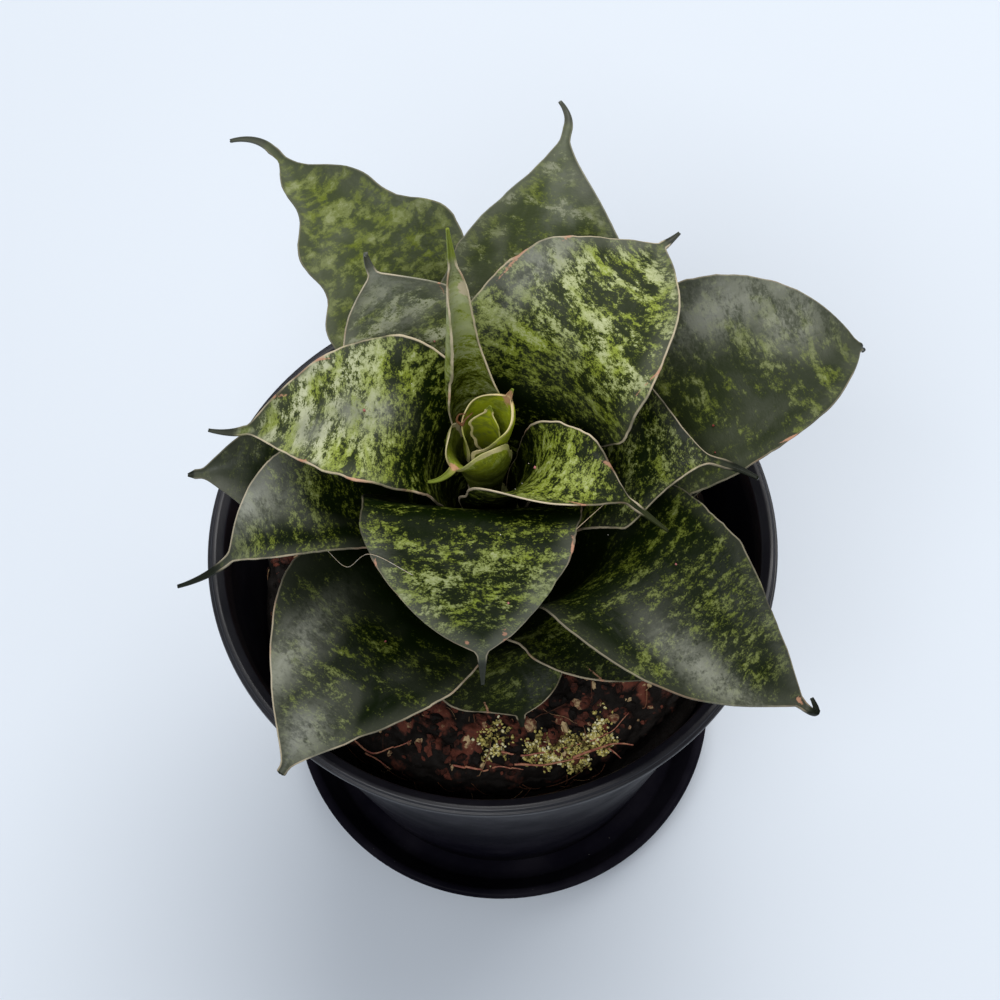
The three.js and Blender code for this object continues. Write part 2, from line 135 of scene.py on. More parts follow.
class SoilSettings(bpy.types.PropertyGroup):
    """Colours and counts of what lies in the pot."""

    bark_count: count_setting("Bark and coir", "Loose bits on the root ball", 1500)
    fibre_count: count_setting("Fibres", "Fine brown fibres on the root ball's top", 150)
    moss_count: count_setting("Moss grains", "Grains that make up the clumps of moss", 2100)
    red_brown: colour_setting("Red brown", "Colour of the coir", srgb(104, 54, 40))
    # Dark brown is also the painted shade of the soil's hollows and of its shaded lower sides.
    dark_brown: colour_setting("Dark brown", "Colour of the hollows", srgb(14, 7, 3))
    ochre: colour_setting("Ochre", "Colour of the lighter bits", srgb(200, 174, 130))


class StageSettings(bpy.types.PropertyGroup):
    """Floor, light and surroundings."""

    floor: colour_setting("Floor", "Colour of the floor", (0.73, 0.785, 0.86))
    key: light_setting("Key light", "Power of the large soft light behind the plant", 37.2)
    fill: light_setting("Fill light", "Power of the soft light from the front", 21.0)
    sky: light_setting("Surroundings", "Strength of the pale surroundings", 0.26)


# ------------------------------------------------------------------ noise worked out on arrays
def lattice(i, seed):
    """One repeatable number from 0 to 1 for each whole-numbered point in i."""
    h = np.sin(i[..., 0] * 12.9898 + i[..., 1] * 78.233 + i[..., 2] * 37.719 + seed * 53.31)
    h = h * 43758.5453
    return h - np.floor(h)


def noise(p, size, seed=0):
    """Smooth noise from 0 to 1: the corner values of cubes of the given size, blended by
    3w^2 - 2w^3 of the place within the cube."""
    q = p / size
    i = np.floor(q)
    w = q - i
    w = w * w * (3 - 2 * w)
    total = 0.0
    for corner in np.ndindex(2, 2, 2):
        share = np.prod(np.where(corner, w, 1 - w), axis=-1)
        total = total + share * lattice(i + np.array(corner), seed)
    return total


def rough(p, size, octaves=3, seed=0):
    """Sum of noise at halving sizes and halving strengths, centred on 0."""
    return sum((noise(p, size / 2**k, seed + k) - 0.5) / 2**k for k in range(octaves))


def crumbs(p, size, seed=0):
    """Rounded crumbs: each cube of the given size holds one random point; the height is
    1 - (distance to the nearest)^2 and the tone is that point's own random number."""
    q = p / size
    i = np.floor(q)
    best = np.full(q.shape[:-1], 9.0)
    tone = np.zeros(q.shape[:-1])
    for step in np.ndindex(3, 3, 3):
        c = i + np.array(step) - 1
        point = c + np.stack([lattice(c, seed + k) for k in (1, 2, 3)], axis=-1)
        d = np.sum((q - point) ** 2, axis=-1)
        near = d < best
        best = np.where(near, d, best)
        tone = np.where(near, lattice(c, seed + 4), tone)
    return 1 - np.minimum(best, 1.0), tone


def smooth(x):
    """0 below 0, 1 above 1 and 3x^2 - 2x^3 between."""
    x = np.clip(x, 0.0, 1.0)
    return x * x * (3 - 2 * x)


def unit(v):
    """The vectors v at length 1."""
    return v / np.maximum(np.linalg.norm(v, axis=-1, keepdims=True), 1e-12)


# ------------------------------------------------------------------ meshes from arrays
def mesh_piece(name, points, loops, sizes, values=None, flat=False):
    """A mesh object from points (n, 3) in metres, the corners of its faces in one row and the
    number of corners of each face. values holds one array for each named point attribute."""
    mesh = bpy.data.meshes.new(name)
    points = np.asarray(points, dtype=np.float32)
    loops = np.asarray(loops, dtype=np.int32)
    sizes = np.asarray(sizes, dtype=np.int32)
    mesh.vertices.add(len(points))
    mesh.vertices.foreach_set("co", points.ravel())
    mesh.loops.add(len(loops))
    mesh.loops.foreach_set("vertex_index", loops)
    mesh.polygons.add(len(sizes))
    mesh.polygons.foreach_set("loop_start", np.concatenate([[0], np.cumsum(sizes)[:-1]]).astype(np.int32))
    mesh.polygons.foreach_set("use_smooth", np.full(len(sizes), not flat))
    for key, data in (values or {}).items():
        data = np.asarray(data, dtype=np.float32)
        if data.ndim == 1:
            mesh.attributes.new(key, "FLOAT", "POINT").data.foreach_set("value", data)
        else:
            mesh.attributes.new(key, "FLOAT_VECTOR", "POINT").data.foreach_set("vector", data.ravel())
    mesh.update(calc_edges=True)
    mesh.validate()
    piece = bpy.data.objects.new(name, mesh)
    bpy.context.scene.collection.objects.link(piece)
    return piece


def sleeve_faces(rows, columns, first=0):
    """Quads of a grid whose columns close on themselves, and fans that close its two ends on the
    two points that follow the grid. The faces point away from rows x columns read anticlockwise
    seen from the last row."""
    k = np.arange(columns)
    nxt = (k + 1) % columns
    r = np.arange(rows - 1)[:, None] * columns
    quads = np.stack([r + k, r + nxt, r + columns + nxt, r + columns + k], axis=-1).reshape(-1, 4)
    low, high = rows * columns, rows * columns + 1
    top = (rows - 1) * columns
    start = np.stack([np.full(columns, low), nxt, k], axis=-1)
    end = np.stack([np.full(columns, high), top + k, top + nxt], axis=-1)
    loops = np.concatenate([quads.ravel(), start.ravel(), end.ravel()]) + first
    sizes = np.concatenate([np.full(len(quads), 4), np.full(2 * columns, 3)])
    return loops, sizes


def sleeve_points(grid):
    """The points of a closed sleeve: the grid (rows, columns, 3), then the middle of its first row
    and the middle of its last."""
    return np.concatenate([grid.reshape(-1, 3), grid[:1].mean(axis=1), grid[-1:].mean(axis=1)])


def sleeves_piece(name, grids, values=None, flat=False):
    """One mesh object of many closed sleeves, each a grid (rows, columns, 3) in metres. values
    holds, for each named attribute, one number for each sleeve."""
    points, loops, sizes, first = [], [], [], 0
    for grid in grids:
        rows, columns = grid.shape[:2]
        part, count = sleeve_faces(rows, columns, first)
        points.append(sleeve_points(grid))
        loops.append(part)
        sizes.append(count)
        first += rows * columns + 2
    lengths = [len(p) for p in points]
    spread = {key: np.repeat(np.asarray(v), lengths, axis=0) for key, v in (values or {}).items()}
    return mesh_piece(name, np.concatenate(points), np.concatenate(loops), np.concatenate(sizes),
                      spread, flat)


SLANT = np.array([0.31, 0.17, 0.93])    # a direction that no path here runs in


def tube(path, radii, sides):
    """A tube's grid: circles of the given radii round the points of path (n, 3), square to it.
    Each circle's axes are the path's direction crossed with a fixed slanting line."""
    path = np.asarray(path, dtype=float)
    along = unit(np.gradient(path, axis=0))
    across = unit(np.cross(along, SLANT))
    up = np.cross(along, across)
    turn = np.linspace(0, 2 * np.pi, sides, endpoint=False)
    radii = np.broadcast_to(radii, len(path))[:, None, None]
    ring = across[:, None] * np.cos(turn)[None, :, None] + up[:, None] * np.sin(turn)[None, :, None]
    return path[:, None] + ring * radii


def eased(points, count):
    """A smooth curve of count points through the given ones: Catmull and Rom's cubic, where each
    stretch leaves a point along the line that joins its two neighbours."""
    p = np.asarray(points, dtype=float)
    p = np.concatenate([2 * p[:1] - p[1:2], p, 2 * p[-1:] - p[-2:-1]])
    t = np.linspace(0, len(points) - 1, count)
    i = np.minimum(t.astype(int), len(points) - 2)
    f = (t - i)[:, None]
    a, b, c, d = p[i], p[i + 1], p[i + 2], p[i + 3]
    return 0.5 * (2 * b + (c - a) * f + (2 * a - 5 * b + 4 * c - d) * f**2
                  + (3 * b - a - 3 * c + d) * f**3)


def filleted(corners, radius, steps=5, spacing=None):
    """A line through the corners (n, 2) with each inner corner cut back by radius at most and
    rounded by a parabola, and with points no further apart than spacing."""
    corners = np.asarray(corners, dtype=float)
    out = [corners[0]]
    for before, here, after in zip(corners[:-2], corners[1:-1], corners[2:]):
        back, on = before - here, after - here
        cut = min(radius, 0.45 * np.linalg.norm(back), 0.45 * np.linalg.norm(on))
        a, b = here + unit(back) * cut, here + unit(on) * cut
        s = np.linspace(0, 1, steps)[:, None]
        out.extend((1 - s) ** 2 * a + 2 * s * (1 - s) * here + s**2 * b)
    out.append(corners[-1])
    if spacing:
        dense = [out[0]]
        for a, b in zip(out[:-1], out[1:]):
            count = max(1, int(np.ceil(np.linalg.norm(b - a) / spacing)))
            dense.extend(a + (b - a) * (k / count) for k in range(1, count + 1))
        out = dense
    return np.array(out)


def turned_grid(profile, sides):
    """A surface of revolution about Z: profile (n, 2) of radius and height, carried round."""
    turn = np.linspace(0, 2 * np.pi, sides, endpoint=False)
    r, z = profile[:, 0:1], profile[:, 1:2]
    return np.stack([r * np.cos(turn), r * np.sin(turn), np.broadcast_to(z, (len(r), sides))], axis=-1)


# ------------------------------------------------------------------ node materials
class Finish:
    """A procedural material: its principled shader, and short words for the nodes that feed it."""

    def __init__(self, name):
        """A new material of that name."""
        self.material = bpy.data.materials.new(name)
        self.material.use_nodes = True
        self.tree = self.material.node_tree
        self.shader = self.tree.nodes["Principled BSDF"]

    def feed(self, socket, value):
        """Links a socket to another one, or sets it to a number, a vector or a colour."""
        if isinstance(value, bpy.types.NodeSocket):
            self.tree.links.new(value, socket)
        elif socket.type == "RGBA":
            socket.default_value = (*value[:3], 1.0)
        else:
            socket.default_value = value

    def node(self, kind, inputs=None, **settings):
        """Adds a node with its settings and feeds its inputs."""
        n = self.tree.nodes.new(kind)
        for key, value in settings.items():
            setattr(n, key, value)
        for key, value in (inputs or {}).items():
            self.feed(n.inputs[key], value)
        return n

    def plus(self, a, b):
        """a plus b."""
        return self.node("ShaderNodeMath", {0: a, 1: b}, operation="ADD").outputs[0]

    def less(self, a, b):
        """a less b."""
        return self.node("ShaderNodeMath", {0: a, 1: b}, operation="SUBTRACT").outputs[0]

    def times(self, a, b):
        """a times b."""
        return self.node("ShaderNodeMath", {0: a, 1: b}, operation="MULTIPLY").outputs[0]

    def swing(self, grain, strength):
        """Grain turned about 0: (grain - 0.5) times a strength."""
        return self.times(self.less(grain, 0.5), strength)

    def step(self, value, low, high, out_low=0.0, out_high=1.0):
        """A soft step, 3t^2 - 2t^3, as the value goes from low to high."""
        limits = {"From Min": low, "From Max": high, "To Min": out_low, "To Max": out_high}
        n = self.node("ShaderNodeMapRange", {"Value": value, **limits}, interpolation_type="SMOOTHSTEP")
        return n.outputs["Result"]

    def blend(self, share, a, b):
        """Colour a changed towards colour b by a share."""
        n = self.node("ShaderNodeMix", {0: share, 6: a, 7: b}, data_type="RGBA", clamp_factor=True)
        return n.outputs[2]

    def grain(self, place, scale, detail=2.0, roughness=0.5, distortion=0.0, stretch=(1, 1, 1)):
        """Noise, about 0.3 to 0.7, with its own stretch of the place it is read at."""
        at = self.node("ShaderNodeMapping", {"Vector": place, "Scale": stretch}).outputs[0]
        n = self.node("ShaderNodeTexNoise", {
            "Vector": at, "Scale": scale, "Detail": detail, "Roughness": roughness,
            "Distortion": distortion})
        return n.outputs["Fac"]

    def carried(self, name, output="Fac"):
        """A named value of the mesh's points."""
        n = self.node("ShaderNodeAttribute", attribute_name=name, attribute_type="GEOMETRY")
        return n.outputs[output]

    def three(self, vector):
        """The three numbers of a vector."""
        return self.node("ShaderNodeSeparateXYZ", {0: vector}).outputs

    def place(self):
        """The place in the shared frame, in metres."""
        return self.node("ShaderNodeTexCoord").outputs["Object"]

    def done(self, colour, roughness, relief, strength, depth, gloss=None):
        """Feeds the shader its colour, its roughness, a relief as bump and, if given, its gloss,
        and returns the material."""
        bump = {"Height": relief, "Strength": strength, "Distance": depth}
        self.feed(self.shader.inputs["Base Color"], colour)
        self.feed(self.shader.inputs["Roughness"], roughness)
        self.feed(self.shader.inputs["Normal"], self.node("ShaderNodeBump", bump).outputs["Normal"])
        if gloss is not None:
            self.feed(self.shader.inputs["Specular IOR Level"], gloss)
        return self.material


RIM_UNDERSIDE = (0.1262, 0.1284)    # heights in metres over which the wall turns out into the rim
WALL_SHEEN = (0.06, 0.125)          # and over which the wall's sheen grows


def plastic_material(name, colour, roughness, dust):
    """Moulded black plastic: a faint orange peel, a patchy sheen that grows up the wall, a glossier
    rim, a film of dust and dust in specks."""
    f = Finish(name)
    place = f.place()
    cloud = f.grain(place, 38, 4.0, 0.6)
    speck = f.grain(place, 900, 2.0, 0.6)
    smear = f.grain(place, 60, 2.0, 0.5)
    specks = f.step(f.plus(speck, f.times(cloud, 0.18)), 0.84, 0.90)
    film = f.times(f.step(cloud, 0.36, 0.72), dust)
    veil = f.blend(film, colour, srgb(84, 80, 88))
    dusty = f.blend(f.times(specks, 0.55), veil, srgb(150, 146, 138))
    matt = f.step(smear, 0.3, 0.7, roughness - 0.05, roughness + 0.09)
    peel = f.plus(f.grain(place, 420, 2.0), f.times(smear, 0.3))
    height = f.three(place)[2]
    rim = f.step(height, *RIM_UNDERSIDE, 0.0, 0.42)
    sheen = f.step(f.grain(place, 9, 1.0, 0.4, 0.3, (1, 1, 1.6)), 0.36, 0.66, 0.02, 0.17)
    sheen = f.times(sheen, f.step(height, *WALL_SHEEN, 0.15, 1.0))
    return f.done(dusty, matt, peel, 0.08, 0.0004, f.plus(sheen, rim))


# Grain on the leaves' skin: detail, roughness, distortion, then how fine it is across the leaf and
# along it, in cycles to the millimetre, and from leaf to leaf.
SKIN_GRAIN = {
    "band": (2.0, 0.55, 0.6, (0.04, 0.21, 1.0)),        # the cross bands
    "patch": (2.0, 0.55, 0.6, (0.11, 0.19, 1.0)),       # patches that break them up
    "speckle": (4.0, 0.72, 0.4, (0.8, 1.3, 1.0)),
    "dab": (2.0, 0.6, 0.5, (0.38, 0.62, 1.0)),          # between patch and speckle
    "fleck": (2.0, 0.65, 0.0, (2.6, 3.4, 1.0)),         # the finest
    "blot": (2.0, 0.55, 0.4, (0.30, 0.30, 1.0)),        # round blots of the older leaves
    "hue": (2.0, 0.6, 0.8, (0.10, 0.16, 1.0)),          # from yellow-green to grey
    "cloud": (2.0, 0.5, 0.3, (0.06, 0.05, 1.0)),        # of the waxy bloom
    "ragged": (2.0, 0.6, 0.0, (0.35, 0.35, 1.0)),       # width of the margin's line
    "dull": (2.0, 0.6, 0.0, (0.05, 0.07, 1.0)),         # and its strength
    "healed": (2.0, 0.6, 0.0, (0.03, 0.09, 1.3)),       # brown stretches of it
    "pucker": (2.0, 0.5, 0.0, (0.22, 0.16, 1.0)),       # relief
    "pits": (2.0, 0.6, 0.0, (0.9, 2.2, 1.0)),           # and fine relief
}


def leaf_material(name, look):
    """Waxy leaf skin. The point attribute blade holds the place on the leaf in millimetres: across,
    along and a number of the leaf's own. A level is summed from cross bands, patches, dabs,
    speckles, flecks and blots, and the colour climbs with it from the dark ground to the pale
    frost. The throat is nearly black, partly the skin's own dark and partly painted shade of the
    rosette, and away from it the yellow-green turns grey. Over that lie a waxy bloom near the
    margins, partly real and partly painted sheen, painted highlights where the sheen marks lie,
    the young green of the bud, the horny spine, pale patches, scars and the thin line of the margin."""
    f = Finish(name)
    plus, less, times, swing, step, blend = f.plus, f.less, f.times, f.swing, f.step, f.blend
    blade = f.carried("blade", "Vector")
    margin, tip, share = (f.carried(key) for key in ("margin", "tip", "share"))
    fresh, waxy, blotchy = f.three(f.carried("traits", "Vector"))
    # cover, bright and tone are set leaf by leaf, partly as painted light and shade.
    cover, bright, rim_width = f.three(f.carried("looks", "Vector"))
    tone, grey, start = f.three(f.carried("tints", "Vector"))
    # sheen: strength of the painted highlights, reflections of the light painted into the skin.
    scar, white, sheen = f.three(f.carried("marks", "Vector"))
    band, patch, speckle, dab, fleck, blot, hue, cloud, ragged, dull, healed, pucker, pits = (
        f.grain(blade, 1.0, *numbers) for numbers in SKIN_GRAIN.values())

    # From here the skin opens out of the throat: the darker throat is partly the skin's own colour and
    # partly painted shade of the rosette.
    open_from = less(share, start)
    grown_and_lit = step(open_from, -0.10, 0.30)
    coarse = plus(swing(band, 1.6), swing(patch, 0.7))
    fine = plus(plus(swing(speckle, 2.4), swing(fleck, 1.4)), swing(dab, 1.8))
    fine = times(fine, less(1.0, times(blotchy, 0.5)))
    level = plus(plus(coarse, fine), plus(times(swing(blot, 2.2), blotchy), cover))
    # Painted shade: the speckles fade into the dark ground towards the throat.
    level = plus(level, step(open_from, -0.12, 0.14, -0.36, 0.0))
    strip = step(plus(margin, swing(patch, 5.0)), -0.6, 1.4)
    inside = times(strip, step(share, 0.88, 1.0, 1.0, 0.3))

    # Waxy veil near the margins and in clouds: partly the leaf's own, partly painted sheen where the leaf
    # catches the light.
    near = step(margin, 0.3, 7.0, 1.0, 0.0)
    bloom_and_sheen = plus(times(near, 0.55), step(cloud, 0.48, 0.72, 0.0, 0.5))
    # Painted highlights: the sheen marks, streaked, painted into the skin's colour.
    painted_sheen_streaks = times(sheen, step(plus(patch, speckle), 0.76, 1.14, 0.25, 0.85))
    bloom_and_sheen = plus(times(times(bloom_and_sheen, waxy), grown_and_lit), painted_sheen_streaks)

    # The ground darkens to throat green and the speckles dim towards the throat: partly the skin's own
    # colour, partly painted shade.
    ground = blend(times(grown_and_lit, tone), look.deep, look.dark)
    shine = times(bright, plus(0.6, times(grown_and_lit, 0.4)))
    yellow = blend(shine, look.deep, look.light)
    silver = blend(shine, look.deep, look.pale)
    aged = times(step(hue, 0.36, 0.60, 0.1, 1.3), step(open_from, 0.02, 0.28, 0.15, 1.0))
    lit = blend(times(aged, grey), yellow, silver)
    half_lit = blend(0.34, ground, yellow)
    frost = blend(0.5, lit, look.pale)
    skin = blend(times(step(level, -0.14, 0.16), inside), ground, half_lit)
    skin = blend(times(step(level, 0.08, 0.40), times(inside, 0.9)), skin, lit)
    skin = blend(times(step(level, 0.46, 0.80), times(inside, times(bright, 0.8))), skin, frost)
    # Paints the veil: partly the leaf's own waxy grey, partly painted reflection of the light.
    skin = blend(bloom_and_sheen, skin, look.wax_and_sheen)

    young = times(step(fresh, 0.4, 1.0), 0.85)
    # The young leaves darken towards their base: painted shade of the throat.
    sprout = blend(step(share, 0.35, 0.95, 0.72, 0.0), look.young, look.deep)
    sprout = blend(step(dab, 0.40, 0.66, 0.0, 0.55), sprout, look.dark)
    skin = blend(young, skin, sprout)
    horn = blend(times(tone, 0.4), look.spine, look.wax_and_sheen)
    horn = blend(step(fresh, 0.2, 0.45, 0.0, 0.7), horn, yellow)
    skin = blend(step(tip, 0.0, 0.35), skin, horn)
    patchy_white = step(plus(white, swing(speckle, 0.9)), 0.42, 0.60)
    skin = blend(times(patchy_white, 0.9), skin, look.margin)
    patchy_scar = step(plus(scar, swing(speckle, 0.9)), 0.66, 0.84)
    skin = blend(times(patchy_scar, 0.85), skin, look.scar)

    edge = less(times(plus(rim_width, times(scar, 0.35)), plus(0.3, times(ragged, 1.3))), margin)
    line = times(step(edge, -0.10, 0.16), step(tip, 0.0, 0.3, 1.0, 0.0))
    bold = times(step(rim_width, 0.0, 0.3, 0.25, 1.0), step(dull, 0.38, 0.56, 0.25, 1.0))
    rim = blend(plus(step(healed, 0.58, 0.68, 0.0, 0.6), scar), look.margin, look.scar)
    rim = blend(times(young, 0.7), rim, look.young_margin)
    skin = blend(times(line, bold), skin, rim)

    relief = plus(pucker, times(pits, 0.12))
    gloss = plus(0.03, plus(times(bloom_and_sheen, 0.5), times(grown_and_lit, 0.06)))
    return f.done(skin, step(speckle, 0.3, 0.7, 0.34, 0.50), relief, 0.45, 0.0012, gloss)


def toned_material(name, dark, mid, light, roughness=0.9):
    """Loose stuff in three colours: the point attribute tone, 0 to 1, chooses between them, and
    fine grain breaks each one up."""
    f = Finish(name)
    fine = f.grain(f.place(), 900, 3.0, 0.65)
    shade = f.plus(f.carried("tone"), f.swing(fine, 0.7))
    lower = f.blend(f.step(shade, 0.16, 0.66), dark, mid)
    colour = f.blend(f.step(shade, 0.72, 0.98), lower, light)
    matt = f.step(fine, 0.3, 0.7, roughness - 0.12, roughness)
    return f.done(colour, matt, fine, 0.6, 0.0005, 0.3)


def plain_material(name, colour, other, scale, roughness):
    """Two close colours mixed by fine grain, with a matching bump."""
    f = Finish(name)
    fine = f.grain(f.place(), scale, 3.0, 0.6)
    mixed = f.blend(f.step(fine, 0.35, 0.65), colour, other)
    return f.done(mixed, f.step(fine, 0.3, 0.7, roughness - 0.1, roughness), fine, 0.3, 0.0003)


def finish_piece(piece, material, slot, *nodes):
    """Gives a piece its material and tells the frame what it rides on and replaces."""
    piece.data.materials.clear()
    piece.data.materials.append(material)
    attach(piece, "root")
    if nodes:
        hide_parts(*nodes)


# ------------------------------------------------------------------ saucer and pot, in millimetres
HUB = 20                    # within this radius a turned piece closes flat
SAUCER_FOOT = 54            # radius of the flat foot
SAUCER_FLOOR = 2.2          # height of the inside
POT_BASE_RADIUS = 51
POT_FLOOR = 4.8             # height of the inside
INSIDE_FOOT = (49.3, 6)     # radius and height of the foot of the pot's inner wall
INSIDE_TOP = (69.8, 129)    # and of its top, under the rim
DRAIN_HOLES = 6
DRAIN_RADIUS = 4.0
DRAIN_CIRCLE = 34.0
BORE_FROM, BORE_LENGTH = -2.0, 12.0


def saucer_profile(s):
    """Radius and height along the saucer's section: foot, flared wall, rolled edge, floor."""
    r, h = s.saucer_radius / MM, s.saucer_height / MM
    foot, floor = SAUCER_FOOT, SAUCER_FLOOR
    return [(HUB, 0), (foot, 0), (foot + 2.6, 1.2), (r - 3.2, h - 3.6), (r - 0.9, h - 2.6),
            (r, h - 1.3), (r - 0.7, h - 0.2), (r - 1.8, h), (r - 2.9, h - 0.5), (r - 3.9, h - 2.2),
            (foot + 2.2, floor + 1), (foot, floor), (HUB, floor)]


class SNAKEPLANT_OT_saucer(bpy.types.Operator):
    """Turns the shallow saucer"""

    bl_idname = "snake_plant.saucer"
    bl_label = "Saucer"

    def execute(self, context):
        s = context.scene.snake_pot
        line = filleted(saucer_profile(s), 1.4, 6, 1.6) * MM
        piece = sleeves_piece("saucer_turned", [turned_grid(line, s.sides)])
        material = plastic_material("saucer_plastic", s.saucer_colour, 0.30, 0.10)
        finish_piece(piece, material, "saucer_plastic", "saucer")
        return {"FINISHED"}


def pot_inner_radius(z):
    """Radius of the pot's inner wall at a height: a straight line from its foot to its top."""
    (r0, z0), (r1, z1) = INSIDE_FOOT, INSIDE_TOP
    return r0 + (z - z0) * (r1 - r0) / (z1 - z0)


def pot_profile(s):
    """Radius and height along the pot's section: underside, tapered wall, rim, wall, floor."""
    r, t, b = s.pot_radius / MM, s.pot_top / MM, s.pot_base / MM
    base = POT_BASE_RADIUS
    return [(HUB, b), (base - 2.5, b), (base - 0.6, b + 0.8), (base, b + 2.6), (r - 4, t - 7.5),
            (r - 3.4, t - 5.6), (r - 1.6, t - 4.8), (r - 0.6, t - 3.4), (r, t - 1.6),
            (r - 0.3, t - 0.8), (r - 0.9, t - 0.75), (r - 1.2, t - 0.1), (r - 2.3, t),
            (r - 2.9, t - 0.35), (r - 4.4, t - 1.2), (r - 5.2, t - 5), INSIDE_FOOT,
            (INSIDE_FOOT[0] - 1.1, POT_FLOOR), (HUB, POT_FLOOR)]


class SNAKEPLANT_OT_pot(bpy.types.Operator):
    """Turns the tapered pot with its grooved rim and bores its drain holes"""

    bl_idname = "snake_plant.pot"
    bl_label = "Pot"

    def execute(self, context):
        s = context.scene.snake_pot
        line = filleted(pot_profile(s), 0.5, 5, 2.5) * MM
        piece = sleeves_piece("pot_turned", [turned_grid(line, s.sides)])
        bores = []
        for a in 2 * np.pi * (np.arange(DRAIN_HOLES) + 0.5) / DRAIN_HOLES:
            foot = np.array([DRAIN_CIRCLE * np.cos(a), DRAIN_CIRCLE * np.sin(a), BORE_FROM])
            bores.append(tube([foot * MM, (foot + [0, 0, BORE_LENGTH]) * MM], DRAIN_RADIUS * MM, 40))
        cutter = sleeves_piece("drain_bores", bores)
        cut = piece.modifiers.new("drain", "BOOLEAN")
        cut.operation, cut.solver, cut.object = "DIFFERENCE", "EXACT", cutter
        graph = context.evaluated_depsgraph_get()
        bored = bpy.data.meshes.new_from_object(piece.evaluated_get(graph))
        piece.modifiers.clear()
        piece.data = bored
        bpy.data.objects.remove(cutter)
        material = plastic_material("pot_plastic", s.pot_colour, 0.38, 0.10)
        finish_piece(piece, material, "pot_plastic", "pot")
        return {"FINISHED"}


# ------------------------------------------------------------------ soil, in millimetres
BALL_TOP = 117.5            # mean height of the root ball's top
BALL_RADIUS = 61.0
BALL_SHOULDER = 52.0        # the top turns down from this radius,
SHOULDER_WIDTH = 9.0        # over this width
DITCH = 97.5                # height of the loose soil at the pot's wall
STEM_HOLE = 17.5            # radius of the hole round the foot of the stem
STEM_FOOT = 100.0           # height of its bottom
SOIL_BASE = SOIL_LOW[2] / MM
SOIL_HEART = 6.0            # radius at which the section's two ends close, out of sight
SOIL_SIDES = 420
WALL_GAP = 0.1              # between the soil and the pot's wall
LUMP_SHARE = 0.9            # height of the slow lumps against the solid's
# The soil's section from the stem's hole round to the underside: radius, height, share of the
# lumps, share of the crumbs, and the number of steps from the station before. Hidden stretches
# stay smooth.
SOIL_STATIONS = np.array([
    (SOIL_HEART, STEM_FOOT, 0, 0, 0), (STEM_HOLE, STEM_FOOT, 0, 0, 1), (STEM_HOLE, 108, 0, 0, 1),
    (STEM_HOLE, 117, 0.2, 0.1, 3), (19, BALL_TOP, 0.7, 1, 3), (BALL_SHOULDER, BALL_TOP, 1, 1, 90),
    (58.2, 116.6, 0.8, 1, 18), (BALL_RADIUS, 113.5, 0.4, 1, 14), (60, 106, 0, 1, 24),
    (58.8, 99.5, 0, 1, 20), (60.5, 97.6, 0.3, 1, 8), (63.2, DITCH, 0, 0.6, 12),
    (64.0, 96.5, 0, 0, 3), (49.25, 8, 0, 0, 8), (46.8, SOIL_BASE, 0, 0, 2),
    (SOIL_HEART, SOIL_BASE, 0, 0, 6)])


def lumps(x, y):
    """Height of the root ball's slow lumps: two sets of crossing waves."""
    crossed = np.sin(0.33 * x + 1.2 * np.sin(0.11 * y + 1))
    crossed = crossed * np.sin(0.29 * y - 0.8 + 1.3 * np.sin(0.13 * x))
    return (0.9 * crossed + 0.6 * np.sin(0.61 * x + 0.37 * y)
            + 0.5 * np.sin(0.47 * y - 0.71 * x + 2))


def crumbled(p):
    """Height of the coarse and fine crumbs at the points p, and their shade from 0 to 1: each crumb's
    own random tone, with painted shade that falls towards the gaps between them."""
    coarse, tone = crumbs(p, 4.2, 11)
    fine, tint = crumbs(p, 2.0, 23)
    # Painted shade in the gaps: the lower a point lies on its crumb, the darker.
    shade = np.clip(1.05 * tone * coarse + 0.45 * tint * fine - 0.31, 0, 1)
    return (coarse - 0.6) * 2.3 + (fine - 0.6) * 1.2, shade


def soil_height(x, y):
    """Height of the root ball's top at x, y: its mean, the lumps and the crumbs, less the square of
    how far the place is past the shoulder."""
    relief, _ = crumbled(np.stack([x, y, np.full_like(x, BALL_TOP)], axis=-1))
    edge = smooth((np.hypot(x, y) - BALL_SHOULDER) / SHOULDER_WIDTH)
    return BALL_TOP + lumps(x, y) * LUMP_SHARE + relief - 2.2 * edge**2


def stepped(stations):
    """Rows from station to station, each stretch in the even steps that its last number gives."""
    rows = [stations[0, :-1]]
    for a, b in zip(stations[:-1], stations[1:]):
        count = int(b[-1])
        rows.extend(a[:-1] + (b - a)[:-1] * (k / count) for k in range(1, count + 1))
    return np.array(rows)


